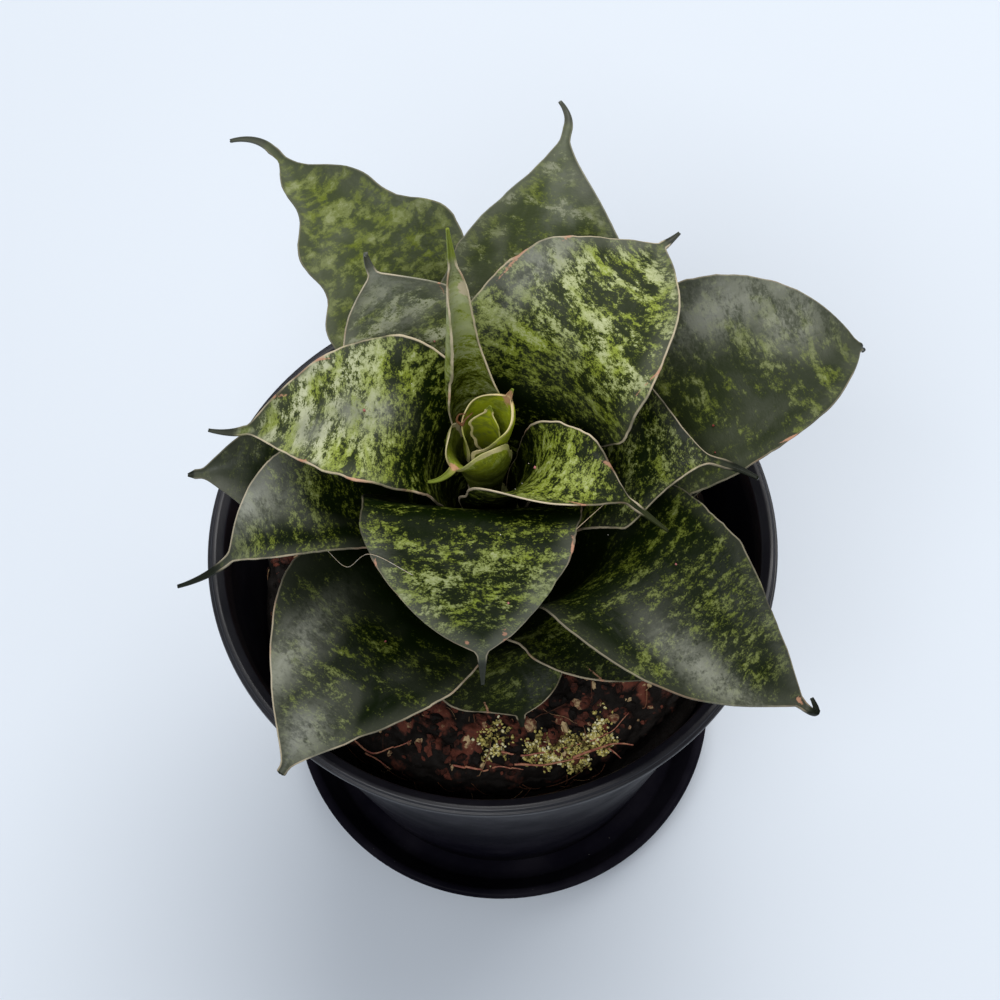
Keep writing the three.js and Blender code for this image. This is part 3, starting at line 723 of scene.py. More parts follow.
class SNAKEPLANT_OT_soil(bpy.types.Operator):
    """Makes the crumbly top and sides of the root ball"""

    bl_idname = "snake_plant.soil"
    bl_label = "Root ball"

    def execute(self, context):
        rows = stepped(SOIL_STATIONS)
        turn = np.linspace(0, 2 * np.pi, SOIL_SIDES, endpoint=False)
        r, z, slow, loose = (rows[:, k:k + 1] for k in range(4))
        x, y = r * np.cos(turn), r * np.sin(turn)
        p = np.stack([x, y, np.broadcast_to(z, x.shape)], axis=-1)
        ahead = np.gradient(rows[:, :2], axis=0)
        out = unit(np.stack([-ahead[:, 1], ahead[:, 0]], axis=-1))
        relief, shade = crumbled(p)
        relief = loose * (relief + rough(p, 9.0, 3, 5) * 1.2)
        level = np.abs(out[:, 1:2])
        sideways = np.where(level > 0.9, 0, out[:, 0:1] * relief)
        z_new = z + slow * lumps(x, y) * LUMP_SHARE + level * relief
        r_new = np.minimum(r + sideways, pot_inner_radius(z) - WALL_GAP)
        grid = np.stack([r_new * np.cos(turn), r_new * np.sin(turn), z_new], axis=-1)
        # Painted shade: the soil darkens down its sides towards the ditch and near the ball's edge, where
        # the pot's wall and rim shade it.
        shade = shade * (0.35 + 0.65 * smooth((z - 98) / 14)) * (1 - 0.5 * smooth((r - 53) / 7))
        tone = np.concatenate([shade.ravel(), [0.2, 0.2]])
        loops, sizes = sleeve_faces(*grid.shape[:2])
        piece = mesh_piece("soil_ball", sleeve_points(grid * MM), loops, sizes, {"tone": tone})
        c = context.scene.snake_soil
        material = toned_material("soil_crumbs", c.dark_brown, c.red_brown, c.ochre)
        finish_piece(piece, material, "soil", "soil")
        return {"FINISHED"}


def scatter(count, low, high, rng):
    """Random places on a ring between two radii, even by area, as x, y in millimetres."""
    r = np.sqrt(rng.uniform(low**2, high**2, count))
    a = rng.uniform(0, 2 * np.pi, count)
    return r * np.cos(a), r * np.sin(a)


def pebble(centre, size, rng, rows=5, columns=7):
    """A small uneven lump: a sphere stretched three ways, dented at random and turned."""
    lat = np.linspace(-0.42 * np.pi, 0.42 * np.pi, rows)[:, None]
    lon = np.linspace(0, 2 * np.pi, columns, endpoint=False)[None]
    ball = np.stack([np.cos(lat) * np.cos(lon), np.cos(lat) * np.sin(lon),
                     np.broadcast_to(np.sin(lat), (rows, columns))], axis=-1)
    ball = ball * rng.uniform(0.72, 1.2, (rows, columns, 1)) * size
    q = rng.normal(size=(3, 3))
    q, _ = np.linalg.qr(q)
    if np.linalg.det(q) < 0:
        q[:, 0] *= -1
    return ball @ q.T + centre


def uneven(length, rng, least):
    """A lump's three half sizes: its length, and two smaller ones drawn at random."""
    return length * np.array([1, rng.uniform(0.5, 0.9), rng.uniform(least, 0.8)])


class SNAKEPLANT_OT_bark(bpy.types.Operator):
    """Strews bits of bark and coir over the root ball"""

    bl_idname = "snake_plant.bark"
    bl_label = "Bark and coir"

    def execute(self, context):
        rng = np.random.default_rng(41)
        c = context.scene.snake_soil
        x, y = scatter(c.bark_count, 20, 60, rng)
        z = soil_height(x, y)
        big = rng.random(c.bark_count) ** 4
        grids, tones = [], []
        for k in range(c.bark_count):
            size = uneven(0.5 + 0.55 * rng.random() + 1.5 * big[k], rng, 0.35)
            grids.append(pebble(np.array([x[k], y[k], z[k] + 0.15 * size[2]]), size, rng) * MM)
            tones.append(np.clip(rng.normal(0.42, 0.30), 0, 1))
        piece = sleeves_piece("soil_bark", grids, {"tone": tones}, flat=True)
        material = toned_material("bark_bits", c.dark_brown, c.red_brown, c.ochre)
        finish_piece(piece, material, "soil")
        return {"FINISHED"}


# ------------------------------------------------------------------ moss, roots and fibres
MOSS_CLUMP = 14             # grains to a clump
MOSS_PATCHES = [            # x, y and radius in millimetres, share of the moss
    (9.0, -53.5, 4.0, 0.28), (17.5, -54.0, 4.5, 0.32), (24.5, -52.0, 3.0, 0.16),
    (-2.5, -50.5, 5.0, 0.16), (26.0, -45.5, 3.0, 0.05), (-36.0, 40.0, 7.0, 0.08)]


class SNAKEPLANT_OT_moss(bpy.types.Operator):
    """Grows the clumps of yellow-green moss on the edge of the root ball"""

    bl_idname = "snake_plant.moss"
    bl_label = "Moss"

    def execute(self, context):
        rng = np.random.default_rng(7)
        c = context.scene.snake_soil
        grids, tones = [], []
        for cx, cy, spread, share in MOSS_PATCHES:
            for _ in range(int(share * c.moss_count / MOSS_CLUMP)):
                d, a = spread * np.sqrt(rng.random()), rng.uniform(0, 2 * np.pi)
                x, y = cx + d * np.cos(a), cy + d * np.sin(a)
                z = soil_height(np.array([x]), np.array([y]))[0]
                heart = np.array([x, y, z + 0.1])
                pale = rng.normal(0.55, 0.25)
                for _ in range(MOSS_CLUMP):
                    centre = heart + rng.normal(0, 1, 3) * np.array([0.8, 0.8, 0.5])
                    size = uneven(rng.uniform(0.3, 0.75), rng, 0.4)
                    grids.append(pebble(centre, size, rng, 4, 6) * MM)
                    tones.append(np.clip(pale + rng.normal(0, 0.15), 0, 1))
        piece = sleeves_piece("soil_moss", grids, {"tone": tones})
        material = toned_material(
            "moss_green", srgb(84, 70, 32), srgb(212, 198, 114), srgb(252, 244, 200))
        finish_piece(piece, material, "soil")
        return {"FINISHED"}


ROOTS = [  # thickness in millimetres, then the x, y points that each root runs through
    (0.26, [(-1.0, -53.6), (4.6, -55.0), (10.0, -54.7), (16.6, -53.5), (23.2, -51.8),
            (28.3, -49.5), (32.2, -46.0)]),
    (0.40, [(17.0, -56.5), (20.3, -55.4), (24.3, -54.1), (28.2, -53.3), (33.1, -53.6)]),
    (0.26, [(25.5, -53.6), (28.0, -55.2), (29.7, -56.6)]),
    (0.28, [(-40.5, -45.5), (-38.4, -48.5), (-34.5, -51.4), (-29.8, -50.6), (-24.0, -48.6)]),
    (0.24, [(-36.4, -50.4), (-33.2, -52.8), (-30.4, -55.3)]),
    (0.34, [(2.0, -57.0), (8.0, -57.8), (14.0, -57.3), (20.0, -56.6)]),
    (0.30, [(-14.0, -56.0), (-8.0, -57.6), (-2.0, -57.4), (4.0, -58.8)]),
    (0.50, [(36.0, 40.0), (43.0, 34.0), (50.0, 22.0), (52.0, 10.0)]),
    (0.40, [(-48.0, 20.0), (-52.0, 8.0), (-50.0, -6.0), (-53.0, -18.0)]),
    (0.36, [(-20.0, 50.0), (-6.0, 53.0), (8.0, 50.0), (20.0, 52.0)]),
]
ROOT_REACH = BALL_RADIUS - 3    # past this radius a root hangs down the ball's side
SMOOTHED = 4                    # points to each side that a root's height is averaged over


class SNAKEPLANT_OT_roots(bpy.types.Operator):
    """Lays the reddish roots that show on the soil"""

    bl_idname = "snake_plant.roots"
    bl_label = "Roots"

    def execute(self, context):
        window = np.ones(2 * SMOOTHED + 1) / (2 * SMOOTHED + 1)
        grids = []
        for k, (thick, points) in enumerate(ROOTS):
            flat = eased(points, 12 * len(points))
            s = np.linspace(0, 1, len(flat))
            reach = np.hypot(flat[:, 0], flat[:, 1])
            ground = np.pad(soil_height(flat[:, 0], flat[:, 1]), SMOOTHED, mode="edge")
            z = np.convolve(ground, window, mode="valid") + 0.9 + 0.5 * np.sin(3 * np.pi * s + k)
            z = np.where(reach > ROOT_REACH, z.max() - 0.2 * (reach - ROOT_REACH), z)
            path = np.column_stack([flat, z])
            path = path + rough(path, 6.0, 2, 90 + k)[:, None] * np.array([0.7, 0.7, 0.5])
            radius = thick * (1 - 0.6 * s) * (0.9 + 0.35 * noise(path, 1.6, k))
            grids.append(tube(path * MM, radius * MM, 8))
        piece = sleeves_piece("soil_roots", grids)
        material = plain_material("root_skin", srgb(150, 78, 64), srgb(190, 132, 100), 700, 0.62)
        finish_piece(piece, material, "soil")
        return {"FINISHED"}


FIBRE_REACH = 59.5              # no fibre on the top goes past this radius
BALL_SIDE = 61.3                # radius at which fibres lie on the ball's side


class SNAKEPLANT_OT_fibres(bpy.types.Operator):
    """Strews fine coir fibres on the root ball's top and side"""

    bl_idname = "snake_plant.fibres"
    bl_label = "Coir fibres"

    def execute(self, context):
        rng = np.random.default_rng(19)
        c = context.scene.snake_soil
        grids, tones = [], []
        s = np.linspace(0, 1, 9)
        arch = np.sin(np.pi * s)
        for _ in range(c.fibre_count):
            x, y = scatter(1, 24, 58, rng)
            foot = np.array([x[0], y[0]])
            head = rng.uniform(0, 2 * np.pi)
            length = rng.uniform(4, 13)
            bend = rng.normal(0, 0.5, 2)
            ahead = np.array([np.cos(head), np.sin(head)])
            flat = foot + (ahead * s[:, None] + bend * s[:, None] ** 2) * length
            reach = np.hypot(flat[:, 0], flat[:, 1])
            flat = flat * np.minimum(1, FIBRE_REACH / reach)[:, None]
            z = soil_height(flat[:, 0], flat[:, 1]) + 0.4 + 1.4 * arch * rng.random()
            grids.append(tube(np.column_stack([flat, z]) * MM, rng.uniform(0.06, 0.16) * MM, 4))
            tones.append(rng.random())
        for _ in range(c.fibre_count // 2):
            a = rng.uniform(0, 2 * np.pi) + 0.12 * s * rng.normal()
            z = rng.uniform(104, 116) - s * rng.uniform(3, 12)
            r = BALL_SIDE + 0.8 * arch - 0.05 * (117 - z)
            path = np.column_stack([r * np.cos(a), r * np.sin(a), z])
            grids.append(tube(path * MM, rng.uniform(0.06, 0.14) * MM, 4))
            tones.append(rng.random())
        piece = sleeves_piece("soil_fibres", grids, {"tone": tones})
        material = toned_material(
            "fibre_brown", srgb(60, 34, 24), srgb(126, 82, 58), srgb(176, 150, 110))
        finish_piece(piece, material, "soil")
        return {"FINISHED"}


# ------------------------------------------------------------------ stem
TIERS = (17.5, 15.1, 12.7, 10.3, 7.9, 5.4, 3.0)     # radii where the leaf bases clasp the stem
STEM_GAP = 0.3                                      # between the stem and the bases


class SNAKEPLANT_OT_stem(bpy.types.Operator):
    """Turns the short stem with the rings that leaf sheaths leave on it"""

    bl_idname = "snake_plant.stem"
    bl_label = "Stem"

    def execute(self, context):
        r0, r1, r2, r3, r4, r5, r6 = (tier - STEM_GAP for tier in TIERS)
        foot = STEM_FOOT + 0.4
        corners = [(4, foot), (r0 - 1.7, foot), (r0, 103), (r0, 119.5), (r1, 121.2), (r1, 122.3),
                   (r2, 124.8), (r2, 128), (r3, 131.4), (r3, 138), (r4, 143), (r4, 150), (r5, 154),
                   (r5, 160), (r6, 164), (r6 - 0.3, 168), (0.8, 171.6), (0.2, 171.8)]
        grid = turned_grid(filleted(corners, 0.8, 4, 0.6), 72)
        level = np.array([1.0, 1.0, 0.0])
        dents = 0.25 * rough(grid, 3.0, 2, 3)[..., None] * level * unit(grid * level)
        piece = sleeves_piece("stem_rings", [(grid + np.minimum(dents, 0)) * MM])
        material = plain_material("stem_skin", srgb(150, 156, 96), srgb(112, 110, 60), 400, 0.6)
        finish_piece(piece, material, "stem", "stem")
        return {"FINISHED"}


# ------------------------------------------------------------------ leaves
# A leaf's midrib is a cubic curve `path` of radius and height in the upright plane at its azimuth
# `az` (degrees, anticlockwise from +X), bowed sideways by `sweep`. Its section is an arc: `wrap`
# degrees to each side about the stem at the base (0: just clasping it), eased between the shares
# `shut` and `unwrap` of the length to `cup` degrees, and turned about the midrib by `roll`. The
# half width grows from `base`/2 to `width`/2 at `wide` of the length (slower with more `neck`) and
# closes to the tip (rounder with more `full`, sharper with more `sharp`); `lop` makes the right
# side wider. The tip ends in a spine of length `spine` that bends up by `hook` and sideways by
# `turn` degrees. The margins go up and down by `wave`, `waves` times, and in and out by `scallop`,
# `lobes` times; `phase` and `lobe` shift both. `thick` is the thickness at the base. Lengths are
# in millimetres.
LEAF = {
    "width": 44, "base": 18, "wide": 0.5, "neck": 1.3, "full": 2, "sharp": 1.35, "cup": 28,
    "wrap": 0, "shut": 0, "unwrap": 0.55, "roll": 0, "sweep": 0, "lop": 0, "wave": 1,
    "waves": 2.5, "phase": 0, "scallop": 0.3, "lobes": 4.5, "lobe": 0, "spine": 10, "hook": 0,
    "turn": 0, "thick": 2.2,
}
LEAVES = {
    "leaf_front_low": dict(
        az=-85, path=[(17.5, 120), (27, 139), (40, 147), (50, 134)], width=36, wide=0.6, full=2.5,
        sharp=1.2, sweep=-4, spine=3),
    "leaf_right_low": dict(
        az=9, path=[(17.5, 120), (26, 145), (46, 158), (64, 146)], width=28, spine=3),
    "leaf_left_far": dict(
        az=174, path=[(17.5, 120), (24, 150), (48, 173), (73, 167)], width=42, roll=12, lop=0.12,
        spine=2),
    "leaf_front_right_low": dict(
        az=-50, path=[(15.1, 121.5), (22, 144), (42, 156), (59, 141)], width=42, base=15, full=2.5,
        sharp=1.2, spine=1.5),
    "leaf_back_left": dict(
        az=119.8, path=[(15.1, 122.4), (23.7, 164.1), (54.1, 206), (100.5, 190.3)], width=45.1,
        base=11.4, wide=0.51, neck=2.8, sharp=1.62, cup=32, roll=-1, sweep=-1.3, lop=0.32,
        scallop=2.3, lobes=5.9, lobe=-0.5, spine=14.4, hook=-8, turn=55),
    "leaf_right": dict(
        az=17.5, path=[(15.1, 121.5), (20, 150), (60, 190), (101, 169)], width=53, base=13,
        wide=0.56, neck=2.3, full=3, sharp=0.95, roll=-3, lop=-0.12, spine=3, hook=-100),
    "leaf_front_left": dict(
        az=231, path=[(15.1, 121.5), (15.9, 150.3), (50.1, 171.3), (85.6, 152.9)], width=53.9,
        wide=0.59, neck=1.65, full=1.8, sharp=1.25, cup=27, roll=2, sweep=0.2, lop=0.07, spine=0.5,
        hook=-4, turn=3),
    "leaf_back": dict(
        az=71.5, path=[(15.1, 121.5), (15, 172), (48, 194), (79.3, 208)], width=56, base=12,
        wide=0.53, neck=4.5, sharp=1.6, roll=-3, lop=0.14, spine=7, hook=20, turn=70),
    "leaf_front_right": dict(
        az=-39.5, path=[(12.7, 125.5), (23, 163.3), (40.8, 187.7), (93.4, 156.2)], width=52,
        wide=0.55, neck=4.4, full=2.7, sharp=1.01, cup=39, roll=-6, sweep=7, lop=0.32, spine=9,
        hook=221, turn=-34),
    "leaf_left_low": dict(
        az=193.7, path=[(12.7, 125.5), (17, 167.1), (39.2, 196), (67, 165.1)], width=34.6,
        wide=0.52, neck=1.19, full=2.8, sharp=1.22, cup=30, roll=-4, sweep=-0.4, lop=0.18, spine=16,
        hook=28, turn=-9),
    "leaf_left_back": dict(
        az=123.2, path=[(10.3, 132), (13, 165), (26, 188.5), (44, 208.4)], width=34.8, base=16,
        wide=0.66, neck=3.4, full=3.2, sharp=0.95, cup=12, roll=19, lop=0.08, spine=8, hook=60),
    "leaf_right_mid": dict(
        az=-4.2, path=[(10.3, 132), (14.8, 166.1), (35.5, 192.8), (57.6, 177.2)], width=43.3,
        base=16, wide=0.65, neck=3, full=1.2, sharp=1.9, cup=25, sweep=0.7, lop=-0.08, spine=9.2,
        hook=32, turn=-35),
    "leaf_front": dict(
        az=-95, path=[(10.3, 132), (7, 193.5), (25, 215), (46.1, 168.4)], width=50.7, base=16,
        wide=0.4, neck=2.2, full=4.2, sharp=1.03, cup=3, lop=0.12, spine=9, hook=10),
    "leaf_back_right": dict(
        az=45, path=[(7.9, 144), (12, 193.3), (27.5, 218.9), (66.1, 197.4)], width=52.7, base=16,
        wide=0.52, neck=2.93, full=2.4, sharp=1.19, roll=-5, sweep=3.3, lop=0.24, spine=5.5,
        hook=39, turn=-9),
    "leaf_left": dict(
        az=167.2, path=[(7.9, 144), (12, 190.3), (13.2, 210.5), (61, 177.2)], width=37.4, base=16,
        wide=0.61, neck=1.56, full=2.5, sharp=1.17, cup=24, roll=6.6, sweep=-0.5, lop=0.06,
        spine=9.5, hook=37, turn=-4),
    "leaf_right_small": dict(
        az=-27, path=[(5.4, 155), (8.5, 186), (18, 203), (38.5, 185.2)], width=31, base=15.5,
        neck=0.7, cup=38, wrap=83, unwrap=0.95, lop=0.28, spine=11, thick=1.6),
    "leaf_upright": dict(
        az=105.4, path=[(5.4, 155), (9.4, 184.9), (13.7, 209), (17.6, 240.9)], width=16.3, base=8.4,
        neck=1.38, full=1, sharp=0.5, cup=93, roll=-3, sweep=0.6, lop=0.03, scallop=2.6, lobes=1,
        lobe=-2.6, spine=12, hook=-2, turn=-2, thick=1.5, unwrap=0.83),
    "bud_outer": dict(
        az=229, path=[(3, 164.5), (6, 180), (8.5, 196), (12, 194)], width=25, base=11.5, wide=0.66,
        sharp=1.1, cup=100, wrap=110, lop=-0.1, wave=0.3, spine=7, turn=-60, thick=1.2),
    "bud_inner": dict(
        az=42, path=[(1.2, 172.5), (2, 181), (3.4, 190), (8.4, 200)], width=27, base=7.4, wide=0.6,
        neck=1.6, full=3, sharp=0.62, cup=95, wrap=172, shut=0.55, unwrap=1, wave=0.2, spine=2.8,
        thick=0.9),
    "bud_heart": dict(
        az=60, path=[(0.4, 180), (0.8, 188), (1.4, 194), (3, 200)], width=8.4, base=1.6, wide=0.72,
        cup=46, wrap=90, wave=0, spine=1.5, thick=0.8),
}
# For each leaf: freshness, wax (partly painted sheen), size of the blots, cover of the speckles,
# their brightness, width of the pale margin in millimetres, tone of the ground, greyness, share of
# the length at which the speckles start, and the slot of its material. Cover, brightness and tone
# are set leaf by leaf partly as painted light and shade: lighter where a leaf faces the light,
# darker where it faces away or lies in the rosette's shade.
LOOKS = {
    "leaf_front_low": (0.0, 0.05, 0.2, -0.12, 0.36, 0.15, 0.15, 0.2, 0.3, "leaf_dark"),
    "leaf_right_low": (0.0, 0.10, 0.2, -0.12, 0.36, 0.15, 0.15, 0.3, 0.3, "leaf_dark"),
    "leaf_left_far": (0.0, 0.25, 0.6, -0.20, 0.28, 0.04, 0.10, 0.8, 0.2, "leaf_dark"),
    "leaf_front_right_low": (0.0, 0.05, 0.2, -0.06, 0.38, 0.15, 0.05, 0.3, 0.3, "leaf_dark"),
    "leaf_back_left": (0.0, 0.30, 1.0, 0.06, 0.46, 0.05, 0.90, 0.2, 0.1, "leaf_dark"),
    "leaf_right": (0.0, 0.20, 0.7, -0.12, 0.40, 0.08, 0.30, 0.3, 0.3, "leaf_dark"),
    "leaf_front_left": (0.0, 0.30, 0.3, -0.20, 0.42, 0.15, 0.02, 0.2, 0.50, "leaf_dark"),
    "leaf_back": (0.0, 0.70, 0.7, 0.0, 0.50, 0.04, 1.00, 0.8, 0.1, "leaf_dark"),
    "leaf_front_right": (0.0, 0.20, 0.3, -0.16, 0.42, 0.08, 0.05, 0.2, 0.42, "leaf_dark"),
    "leaf_left_low": (0.0, 0.35, 0.2, -0.10, 0.56, 0.15, 0.02, 0.2, 0.50, "leaf_dark"),
    "leaf_left_back": (0.0, 1.00, 0.6, 0.16, 0.92, 0.16, 1.00, 1.3, 0.0, "leaf_dark"),
    "leaf_right_mid": (0.0, 0.15, 0.1, -0.06, 0.50, 0.15, 0.02, 0.3, 0.38, "leaf_dark"),
    "leaf_front": (0.0, 0.60, 0.15, -0.02, 0.90, 0.10, 0.20, 0.35, 0.60, "leaf_mid"),
    "leaf_back_right": (0.0, 0.45, 0.45, 0.08, 0.94, 0.18, 0.35, 0.5, 0.40, "leaf_mid"),
    "leaf_left": (0.0, 0.25, 0.45, 0.24, 1.00, 0.22, 0.40, 0.8, 0.54, "leaf_mid"),
    "leaf_right_small": (0.25, 0.05, 0.05, 0.06, 0.84, 0.30, 0.15, 0.1, 0.33, "leaf_mid"),
    "leaf_upright": (0.55, 0.20, 0.2, 0.70, 1.00, 0.42, 0.40, 0.55, 0.62, "leaf_mid"),
    "bud_outer": (0.70, 0.0, 0.1, 0.05, 0.80, 1.10, 0.40, 0.1, 0.1, "leaf_young"),
    "bud_inner": (0.82, 0.0, 0.1, 0.05, 0.90, 0.85, 0.40, 0.1, 0.1, "leaf_young"),
    "bud_heart": (1.00, 0.0, 0.0, 0.0, 0.90, 0.45, 0.40, 0.1, 0.1, "leaf_young"),
}
# The sheen marks are painted highlights: the light's reflection painted into the skin as pale grey
# streaks.
HEALED, PALE, PAINTED_SHEEN = range(3)      # kinds of marks: healed stretch, pale patch, waxy sheen
# Marks on each leaf's skin: kind, share of the length, side from -1 (left margin, seen from the
# stem) to 1, then half length and half width in millimetres.
MARKS = {
    "leaf_left": [
        (HEALED, 0.93, 1.0, 6.0, 0.72), (HEALED, 0.83, 1.0, 6.5, 0.60),
        (HEALED, 0.84, -1.0, 6.0, 0.60), (HEALED, 0.70, -1.0, 5.0, 0.48),
        (PAINTED_SHEEN, 0.72, 0.10, 9.0, 5.0), (PAINTED_SHEEN, 0.84, -0.20, 6.0, 5.0)],
    "leaf_back_right": [
        (HEALED, 0.66, -1.0, 11.0, 0.72), (HEALED, 0.79, -1.0, 4.0, 0.60),
        (HEALED, 0.70, 1.0, 13.0, 0.54), (PAINTED_SHEEN, 0.70, -0.72, 13.0, 4.0)],
    "leaf_front": [
        (HEALED, 0.77, 1.0, 2.4, 0.60), (HEALED, 0.72, -1.0, 7.0, 0.60),
        (HEALED, 0.97, 0.7, 1.5, 1.0), (HEALED, 0.95, -0.8, 3.0, 1.0)],
    "leaf_right_small": [(HEALED, 0.80, 1.0, 5.0, 0.72), (HEALED, 0.84, -1.0, 4.0, 0.84)],
    "leaf_left_back": [(HEALED, 0.90, 1.0, 7.0, 0.42), (PAINTED_SHEEN, 0.90, 0.1, 12.0, 9.0)],
    "leaf_front_low": [(HEALED, 0.90, 1.0, 7.0, 0.60)],
    "leaf_front_right_low": [(HEALED, 0.84, 1.0, 9.0, 0.60)],
    "leaf_right": [
        (HEALED, 0.76, 1.0, 6.0, 0.60), (PAINTED_SHEEN, 0.78, -0.72, 19.0, 7.5),
        (PAINTED_SHEEN, 0.88, -0.60, 10.0, 8.0)],
    "leaf_left_low": [(PAINTED_SHEEN, 0.86, 0.55, 8.0, 5.0)],
    "leaf_front_left": [(PAINTED_SHEEN, 0.80, 0.80, 17.0, 4.5), (PAINTED_SHEEN, 0.91, 0.0, 7.0, 6.0)],
    "leaf_front_right": [(PAINTED_SHEEN, 0.86, 0.55, 14.0, 5.5), (HEALED, 0.985, 0.0, 1.6, 1.2)],
    "leaf_upright": [(PALE, 0.92, -0.95, 3.6, 1.8), (PALE, 0.92, 0.70, 3.0, 1.7)],
    "bud_inner": [(HEALED, 1.00, 0.0, 4.0, 3.0), (HEALED, 0.80, -1.0, 2.5, 1.2)],
    "bud_outer": [(HEALED, 0.97, 0.0, 1.5, 2.5)],
}
CAD_ROWS = 14           # the solids' steps along a blade, which set where a spine's direction is read
WRAP_MOST = 100         # most degrees a base clasps the stem by to each side
ROLLED_AT = 0.6         # share of the length by which the roll is complete
TIP_FROM = 0.85         # from here the section closes towards TIP_CUP degrees,
TIP_CUP = 60
TIP_SHARE = 0.6         # by this share
TIP_HALF = 1            # half width where the spine starts
SPINE_TAPER = 0.88      # lost along the spine
SIDE_LOBE = 2.4         # phase of the right margin's lobes against the left's
SIDE_WAVE = 1.9         # phase of the left margin's waves against the right's
SIDE_NIBBLE = 9.0       # the right margin reads its nibbles this far from the left's
UPRIGHT = 0.05          # a midrib nearer to upright than this keeps its side direction
THIN_MARGIN = 0.70      # thickness lost at the margins,
THIN_TIP = 0.45         # along the blade
THIN_SPINE = 0.4        # and along the spine
THICK_LEAST = 0.30
BEAD = np.array([-0.30, 0.0, 0.30]) * np.pi     # where the rounded margin's points stand


def softmax(a, b, blur):
    """The larger of a and b, with the corner between them rounded."""
    return 0.5 * (a + b + np.sqrt((a - b) ** 2 + blur**2))


def midrib(q, rows, tip_rows):
    """Points of the midrib in the leaf's own upright plane: a cubic curve of radius and height with
    a sideways sweep of sin^3, then the spine, whose heading and pitch change evenly. Also each
    point's share of the blade and of the spine."""

    def curve(t):
        """The cubic curve at the shares t, with its sweep."""
        a, b, c, d = (np.array(p, dtype=float) for p in q["path"])
        t = np.asarray(t)[:, None]
        rz = (1 - t) ** 3 * a + 3 * (1 - t) ** 2 * t * b + 3 * (1 - t) * t**2 * c + t**3 * d
        return np.column_stack([rz[:, 0], q["sweep"] * np.sin(np.pi * t[:, 0]) ** 3, rz[:, 1]])

    t = np.linspace(0, 1, rows + 1)
    blade = curve(t)
    end = curve([1 - 1 / CAD_ROWS, 1.0])
    d = unit(end[1] - end[0])
    f = (np.arange(tip_rows) + 0.5) / tip_rows
    pitch = np.arctan2(d[2], np.hypot(d[0], d[1])) + np.radians(q["hook"]) * f
    head = np.arctan2(d[1], d[0]) + np.radians(q["turn"]) * f
    steps = [np.cos(pitch) * np.cos(head), np.cos(pitch) * np.sin(head), np.sin(pitch)]
    spine = blade[-1] + np.cumsum(np.stack(steps, axis=-1), axis=0) * q["spine"] / tip_rows
    share = np.concatenate([t, np.ones(tip_rows)])
    tip = np.concatenate([np.zeros(rows + 1), np.arange(1, tip_rows + 1) / tip_rows])
    return np.concatenate([blade, spine]), share, tip


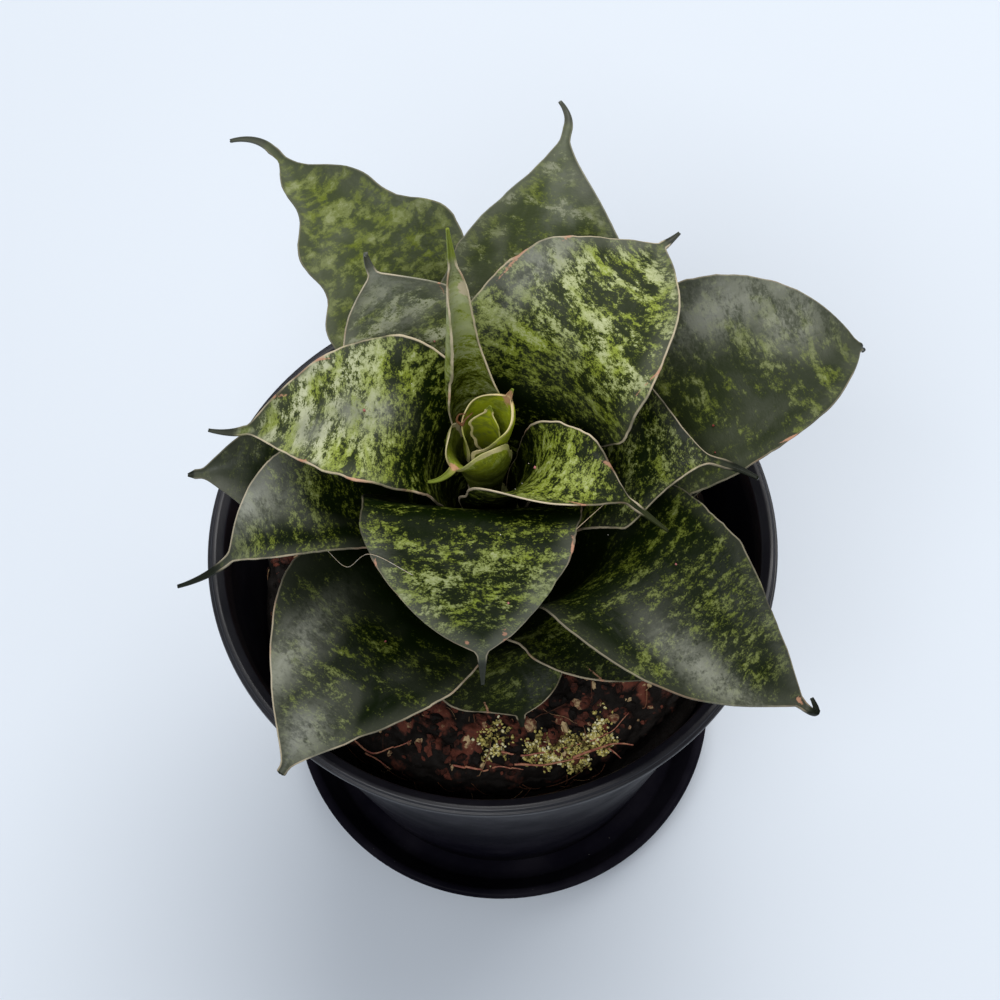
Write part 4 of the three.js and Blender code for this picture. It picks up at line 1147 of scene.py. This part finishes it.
def leaf_sheet(q, rows, tip_rows, columns, seed):
    """The upper face of a leaf as a grid of points in millimetres, with the values that its
    material reads. Across the midrib the section is an arc of half width hw and half angle phi:
    wrapped about the stem at the base, cupped in the blade and rolled up in the spine. The margins
    wave up and down, are scalloped and nibbled, and the blade is uneven by slow noise."""
    mid, t, tip = midrib(q, rows, tip_rows)
    along = unit(np.gradient(mid, axis=0))
    side = np.cross(along, [0.0, 0.0, 1.0])
    length = np.linalg.norm(side, axis=-1, keepdims=True)
    w = smooth((length - UPRIGHT) / 0.2)
    side = side * w / np.maximum(length, 1e-9) + np.array([0.0, -1.0, 0.0]) * (1 - w)
    side = unit(side - along * np.sum(side * along, axis=-1, keepdims=True))
    up = unit(np.cross(side, along))
    roll = np.radians(q["roll"]) * smooth(t / ROLLED_AT)[:, None]
    side, up = side * np.cos(roll) + up * np.sin(roll), up * np.cos(roll) - side * np.sin(roll)

    half, base = q["width"] / 2, q["base"] / 2
    x = np.clip((t - q["wide"]) / (1 - q["wide"]), 0, 1)
    grow = base + (half - base) * np.sin(np.pi / 2 * np.minimum(t / q["wide"], 1)) ** q["neck"]
    hw = np.where(t < q["wide"], grow, half * (1 - x ** q["full"]) ** q["sharp"])
    hw = softmax(hw, TIP_HALF - SPINE_TAPER * tip, 0.35)
    wrap = q["wrap"] or min(WRAP_MOST, np.degrees(base / q["path"][0][0]))
    phi = wrap + (q["cup"] - wrap) * smooth((t - q["shut"]) / (q["unwrap"] - q["shut"]))
    phi = np.radians(phi + (TIP_CUP - phi) * smooth((t - TIP_FROM) / (1 - TIP_FROM)) * TIP_SHARE)
    swell = np.sin(np.pi * t) ** 0.7 * (tip == 0)
    t, tip, hw, phi, swell = (k[:, None] for k in (t, tip, hw, phi, swell))

    s = np.linspace(-1, 1, 2 * columns + 1)
    v0 = s * (1.35 - 0.35 * s**2)
    right = v0 >= 0
    run = np.cumsum(np.linalg.norm(np.gradient(mid, axis=0), axis=-1))[:, None]
    lobe = 2 * np.pi * q["lobes"] * t + q["lobe"] + np.where(right, SIDE_LOBE, 0)
    edge = q["scallop"] * swell * np.sin(lobe) / hw
    spot = np.broadcast_arrays(run, np.where(right, SIDE_NIBBLE, 0.0), seed * 7.0)
    nibble = rough(np.stack(spot, axis=-1), 4.0, 3, seed) * 0.9 * swell / hw * np.abs(v0) ** 3
    v = v0 * (1 + q["lop"] * np.sign(v0) + edge + nibble)
    across = v * hw
    lateral = hw / phi * np.sin(v * phi)
    wave = 2 * np.pi * q["waves"] * t + q["phase"] + np.where(right, 0, SIDE_WAVE)
    rise = hw / phi * (1 - np.cos(v * phi)) + q["wave"] * swell * np.abs(v0) ** 2.5 * np.sin(wave)
    if q["thick"] > 1.3:
        skin = np.stack(np.broadcast_arrays(across, run, seed * 7.0 + 3.0), axis=-1)
        rise = rise + rough(skin, 11.0, 2, seed + 40) * 0.9 * swell
    grid = mid[:, None] + side[:, None] * lateral[..., None] + up[:, None] * rise[..., None]
    c, n = np.cos(np.radians(q["az"])), np.sin(np.radians(q["az"]))
    return {
        "grid": grid @ np.array([[c, n, 0], [-n, c, 0], [0, 0, 1]]),
        "share": t, "tip": tip, "side": v0, "across": across, "along": run,
        "margin": np.maximum((1 - np.abs(v0)) * hw, 0)}


def leaf_sleeve(q, sheet):
    """Closes a sheet into a leaf: the upper face, a half-round margin, the under face behind it and
    the other margin, as one closed row of points for each step along the midrib. Returns that grid
    and the sheet's values carried round it."""
    grid, t, tip, v = sheet["grid"], sheet["share"], sheet["tip"], sheet["side"]
    du, dv = np.gradient(grid, axis=0), np.gradient(grid, axis=1)
    normal = unit(np.cross(dv, du))
    body = q["thick"] * (1 - THIN_TIP * t) * (1 - THIN_SPINE * tip)
    least = THICK_LEAST * (1 - 0.5 * tip)
    thick = softmax(body * (1 - THIN_MARGIN * v**2), least, 0.08)[..., None]
    under = grid - normal * thick

    def bead(j, outward, angles):
        """The margin at column j: a half circle from face to face, at the given angles."""
        out = unit(dv[:, j]) * outward
        centre, half = (grid[:, j] + under[:, j]) / 2, thick[:, j] / 2
        ring = [centre + half * (np.cos(a) * out + np.sin(a) * normal[:, j]) for a in angles]
        return np.stack(ring, axis=1)

    loop = [grid, bead(-1, 1.0, BEAD[::-1]), under[:, ::-1], bead(0, -1.0, BEAD)]

    def carried_round(values, at_margin=None):
        """Values of the sheet in the order of the closed row. The margins' points repeat the
        nearest one, or have the value at_margin."""
        values = np.broadcast_to(values, grid.shape[:2])
        right, left = (np.repeat(values[:, j], len(BEAD), axis=1) for j in ([-1], [0]))
        if at_margin is not None:
            right = left = np.full(left.shape, at_margin)
        return np.concatenate([values, right, values[:, ::-1], left], axis=1)

    rings = {key: carried_round(sheet[key]) for key in ("across", "along", "side", "tip", "share")}
    rings["margin"] = carried_round(sheet["margin"], 0.0)
    return np.concatenate(loop, axis=1), rings


def end_value(rows):
    """The values of a closed sleeve's points: the grid's own, then the means of its two ends."""
    return np.concatenate([rows.ravel(), [rows[0].mean(), rows[-1].mean()]])


def marks_on(name, rings):
    """Strengths 0 to 1 of the three kinds of marks at a leaf's points: for each mark
    exp(-(distance / half size)^2), with the distances along and across the leaf."""
    share, side, along, across = (rings[key] for key in ("share", "side", "along", "across"))
    found = np.zeros((3, *share.shape))
    for kind, at, edge, half_length, half_width in MARKS.get(name, ()):
        row = np.argmin(np.abs(share[:, 0] - at))
        column = np.argmin(np.abs(side[row] - edge))
        far = ((along - along[row, column]) / half_length) ** 2
        far = far + ((across - across[row, column]) / half_width) ** 2
        found[kind] = np.maximum(found[kind], np.exp(-far))
    return np.column_stack([end_value(strength) for strength in found])


def sheet_of(name, look):
    """A leaf's numbers, its seed and its sheet."""
    q = {**LEAF, **LEAVES[name]}
    seed = 3 + list(LEAVES).index(name)
    return q, seed, leaf_sheet(q, look.rows, look.tip_rows, look.columns, seed)


def make_leaf(name, look, material):
    """One leaf piece with the point attributes that its material reads."""
    q, seed, sheet = sheet_of(name, look)
    loop, rings = leaf_sleeve(q, sheet)
    points = sleeve_points(loop)
    loops, sizes = sleeve_faces(*loop.shape[:2])
    ends = {key: end_value(rows) for key, rows in rings.items()}
    blade = np.column_stack([ends["across"], ends["along"], np.full(len(points), seed * 11.3)])
    *numbers, slot = LOOKS[name]
    looks = np.tile(numbers, (len(points), 1))
    values = {"blade": blade, "margin": ends["margin"], "tip": ends["tip"], "share": ends["share"],
              "traits": looks[:, :3], "looks": looks[:, 3:6], "tints": looks[:, 6:],
              "marks": marks_on(name, rings)}
    piece = mesh_piece(name + "_blade", points * MM, loops, sizes, values)
    finish_piece(piece, material, slot, name)


class SNAKEPLANT_OT_leaves(bpy.types.Operator):
    """Makes the leaves of the rosette and of the bud"""

    bl_idname = "snake_plant.leaves"
    bl_label = "Leaves"

    def execute(self, context):
        look = context.scene.snake_leaf
        material = leaf_material("leaf_skin", look)
        for name in LEAVES:
            make_leaf(name, look, material)
        return {"FINISHED"}


# ------------------------------------------------------------------ grains, hairs and dried curls
GRAINS = [  # leaf, share of the length, side, size in millimetres, tone (0 dark red, 1 pale)
    ("leaf_left", 0.70, 0.05, 0.9, 0.35), ("leaf_front_right", 0.66, -0.15, 0.7, 0.4),
    ("leaf_right", 0.62, 0.30, 0.8, 0.2), ("leaf_right", 0.60, 0.62, 0.6, 0.2),
    ("leaf_front_left", 0.60, -0.10, 0.7, 0.3), ("leaf_left_back", 0.72, 0.30, 0.6, 0.5),
    ("leaf_right_mid", 0.62, -0.50, 0.6, 0.3), ("leaf_front", 0.88, -0.45, 0.7, 0.5),
    ("leaf_right_small", 0.40, -0.10, 0.9, 0.55), ("leaf_right_small", 0.36, 0.2, 0.35, 1.0),
    ("leaf_right_small", 0.42, 0.4, 0.3, 1.0), ("leaf_right_small", 0.30, -0.3, 0.3, 1.0),
    ("leaf_front_right", 0.42, -0.1, 0.35, 1.0), ("leaf_front_right", 0.50, -0.5, 0.3, 0.9),
    ("leaf_front", 0.66, -0.2, 0.3, 1.0), ("leaf_left", 0.55, 0.5, 0.3, 1.0)]
GRAIN_SHAPE = np.array([1.0, 0.8, 0.7])
HAIR = 0.07             # radius of a stray hair in millimetres


def on_leaf(name, look, share, side, lift=0.0):
    """The point, in millimetres, at a share of a leaf's length and a side, raised off the skin."""
    sheet = sheet_of(name, look)[2]
    grid = sheet["grid"]
    row = int(round(share * look.rows))
    column = int(np.argmin(np.abs(sheet["side"] - side)))
    du, dv = (np.gradient(grid, axis=axis)[row, column] for axis in (0, 1))
    return grid[row, column] + unit(np.cross(dv, du)) * lift


class SNAKEPLANT_OT_grains(bpy.types.Operator):
    """Drops a few reddish and pale grains on the leaves"""

    bl_idname = "snake_plant.grains"
    bl_label = "Grains"

    def execute(self, context):
        rng = np.random.default_rng(5)
        look = context.scene.snake_leaf
        grids, tones = [], []
        for name, share, side, size, tone in GRAINS:
            centre = on_leaf(name, look, share, side, 0.25 * size)
            grids.append(pebble(centre, 0.5 * size * GRAIN_SHAPE, rng) * MM)
            tones.append(tone)
        piece = sleeves_piece("leaf_grains", grids, {"tone": tones})
        material = toned_material(
            "grain_red", srgb(120, 44, 36), srgb(206, 132, 132), srgb(232, 226, 214), 0.6)
        finish_piece(piece, material, "leaf_dark")
        return {"FINISHED"}


class SNAKEPLANT_OT_hairs(bpy.types.Operator):
    """Lays the stray pale hairs and the dried curls at the bud's mouth"""

    bl_idname = "snake_plant.hairs"
    bl_label = "Hairs and curls"

    def execute(self, context):
        look = context.scene.snake_leaf
        mouth = on_leaf("bud_inner", look, 0.78, -1.0)
        low = on_leaf("leaf_left_low", look, 0.70, -1.0)
        front = on_leaf("leaf_front", look, 0.74, 1.0, 0.3)
        far = on_leaf("leaf_front", look, 0.80, 0.7, 0.3)
        left = on_leaf("leaf_front", look, 0.62, -1.0)
        right = on_leaf("leaf_right_small", look, 0.88, 1.0)
        sagging = 0.6 * low + 0.4 * front - [0, 0, 9]
        curl = [mouth + [-1.2, 0.6, 1.2], mouth + [-0.6, 1.5, 2.6], mouth + [1.2, 1.4, 2.8]]
        small = [mouth + [0.8, 0.8, 1.4], mouth + [2.2, 1.6, 2.2], mouth + [2.6, 2.4, 1.6]]
        lines = [  # points, radius at the foot and at the end, tone
            ([left, right], HAIR, HAIR, 0.6), ([low, sagging, front, far], HAIR, HAIR, 0.8),
            ([mouth, *curl], 0.40, 0.10, 0.1), ([mouth, *small], 0.34, 0.10, 0.2)]
        grids, tones = [], []
        for points, thick, thin, tone in lines:
            path = eased(points, 12 * len(points))
            grids.append(tube(path * MM, np.linspace(thick, thin, len(path)) * MM, 6))
            tones.append(tone)
        piece = sleeves_piece("leaf_hairs", grids, {"tone": tones})
        material = toned_material(
            "hair_pale", srgb(110, 70, 40), srgb(190, 170, 140), srgb(220, 220, 214), 0.6)
        finish_piece(piece, material, "leaf_mid")
        return {"FINISHED"}


# ------------------------------------------------------------------ stage, in metres
CAMERA_PLACE = (0.0, -0.218175, 0.6116)
CAMERA_PITCH, CAMERA_YAW, CAMERA_ROLL = 64.37, 0.71, -3.14      # degrees
LENS, SENSOR = 72.0, 36.0                                       # millimetres
FLOOR_RINGS = np.array([0.5, 1.2, 2.5, 4.0])
FLOOR_TOP = -0.0001
FLOOR_THICK = 0.004
LIT = Vector((0, 0, 0.12))                                      # where the lights look
SKY = (0.86, 0.92, 1.0, 1.0)


def soft_light(name, place, size, power, colour):
    """A large rectangular area light that looks at the plant along its own -Z."""
    data = bpy.data.lights.new(name, "AREA")
    data.shape = "RECTANGLE"
    data.size, data.size_y = size
    data.energy = power
    data.color = colour
    light = bpy.data.objects.new(name, data)
    bpy.context.scene.collection.objects.link(light)
    light.location = place
    light.rotation_mode = "QUATERNION"
    light.rotation_quaternion = (LIT - Vector(place)).to_track_quat("-Z", "Y")


def camera_turn():
    """The camera's axes as a matrix: its forward line from yaw and pitch, and the level line and
    the line square to both, turned about it by the roll."""
    pitch, yaw, roll = (math.radians(a) for a in (CAMERA_PITCH, CAMERA_YAW, CAMERA_ROLL))
    level = Vector((math.cos(yaw), -math.sin(yaw), 0))
    forward = Vector((
        math.sin(yaw) * math.cos(pitch), math.cos(yaw) * math.cos(pitch), -math.sin(pitch)))
    raised = level.cross(forward)
    right = level * math.cos(roll) + raised * math.sin(roll)
    top = raised * math.cos(roll) - level * math.sin(roll)
    return Matrix((right, top, -forward)).transposed().to_4x4()


class SNAKEPLANT_OT_stage(bpy.types.Operator):
    """Sets the pale floor, the soft light and the camera"""

    bl_idname = "snake_plant.stage"
    bl_label = "Stage"

    def execute(self, context):
        s = context.scene.snake_stage
        rings = np.column_stack([FLOOR_RINGS, np.full(len(FLOOR_RINGS), FLOOR_TOP)])
        grid = turned_grid(rings, 64)
        grid = np.concatenate([grid, grid[::-1] - np.array([0, 0, FLOOR_THICK])])[::-1]
        floor = sleeves_piece("floor", [grid])
        f = Finish("floor_pale")
        cloud = f.step(f.grain(f.place(), 2.2, 2.0), 0.3, 0.7)
        pale = f.blend(cloud, s.floor, [c * 0.97 for c in s.floor])
        f.feed(f.shader.inputs["Base Color"], pale)
        f.feed(f.shader.inputs["Roughness"], 0.7)
        floor.data.materials.append(f.material)
        world = bpy.data.worlds.new("surroundings")
        world.use_nodes = True
        background = world.node_tree.nodes["Background"]
        background.inputs["Color"].default_value = SKY
        background.inputs["Strength"].default_value = s.sky
        context.scene.world = world
        soft_light("key", (0.50, 1.05, 1.85), (1.9, 1.7), s.key, (1.0, 0.99, 0.97))
        soft_light("fill", (-0.45, -1.0, 1.9), (1.3, 0.9), s.fill, (0.96, 0.98, 1.0))
        data = bpy.data.cameras.new("camera")
        data.lens, data.sensor_width = LENS, SENSOR
        camera = bpy.data.objects.new("camera", data)
        context.scene.collection.objects.link(camera)
        camera.matrix_world = Matrix.Translation(CAMERA_PLACE) @ camera_turn()
        context.scene.camera = camera
        context.scene.view_settings.view_transform = "Standard"
        return {"FINISHED"}


# ------------------------------------------------------------------ panel and registration
SETTINGS = {"snake_pot": PotSettings, "snake_leaf": LeafSettings, "snake_soil": SoilSettings,
            "snake_stage": StageSettings}
STEPS = (
    SNAKEPLANT_OT_stage, SNAKEPLANT_OT_saucer, SNAKEPLANT_OT_pot, SNAKEPLANT_OT_soil,
    SNAKEPLANT_OT_bark, SNAKEPLANT_OT_moss, SNAKEPLANT_OT_roots, SNAKEPLANT_OT_fibres,
    SNAKEPLANT_OT_stem, SNAKEPLANT_OT_leaves, SNAKEPLANT_OT_grains, SNAKEPLANT_OT_hairs)


class SNAKEPLANT_PT_panel(bpy.types.Panel):
    """Lists the settings and the steps that build the plant"""

    bl_idname = "SNAKEPLANT_PT_panel"
    bl_label = "Snake plant"
    bl_space_type = "VIEW_3D"
    bl_region_type = "UI"
    bl_category = "Snake plant"

    def draw(self, context):
        for key, group in SETTINGS.items():
            box = self.layout.box()
            for name in group.__annotations__:
                box.prop(getattr(context.scene, key), name)
        for operator in STEPS:
            self.layout.operator(operator.bl_idname)


CLASSES = (*SETTINGS.values(), *STEPS, SNAKEPLANT_PT_panel)


def register():
    """Registers the classes and hangs the settings on the scene."""
    for cls in CLASSES:
        bpy.utils.register_class(cls)
    for key, group in SETTINGS.items():
        setattr(bpy.types.Scene, key, PointerProperty(type=group))


def unregister():
    """Takes the settings and the classes away again."""
    for key in SETTINGS:
        delattr(bpy.types.Scene, key)
    for cls in reversed(CLASSES):
        bpy.utils.unregister_class(cls)


def main():
    """Registers the add-on and builds everything in order."""
    register()
    for operator in STEPS:
        group, name = operator.bl_idname.split(".")
        getattr(getattr(bpy.ops, group), name)()


if __name__ == "__main__":
    main()
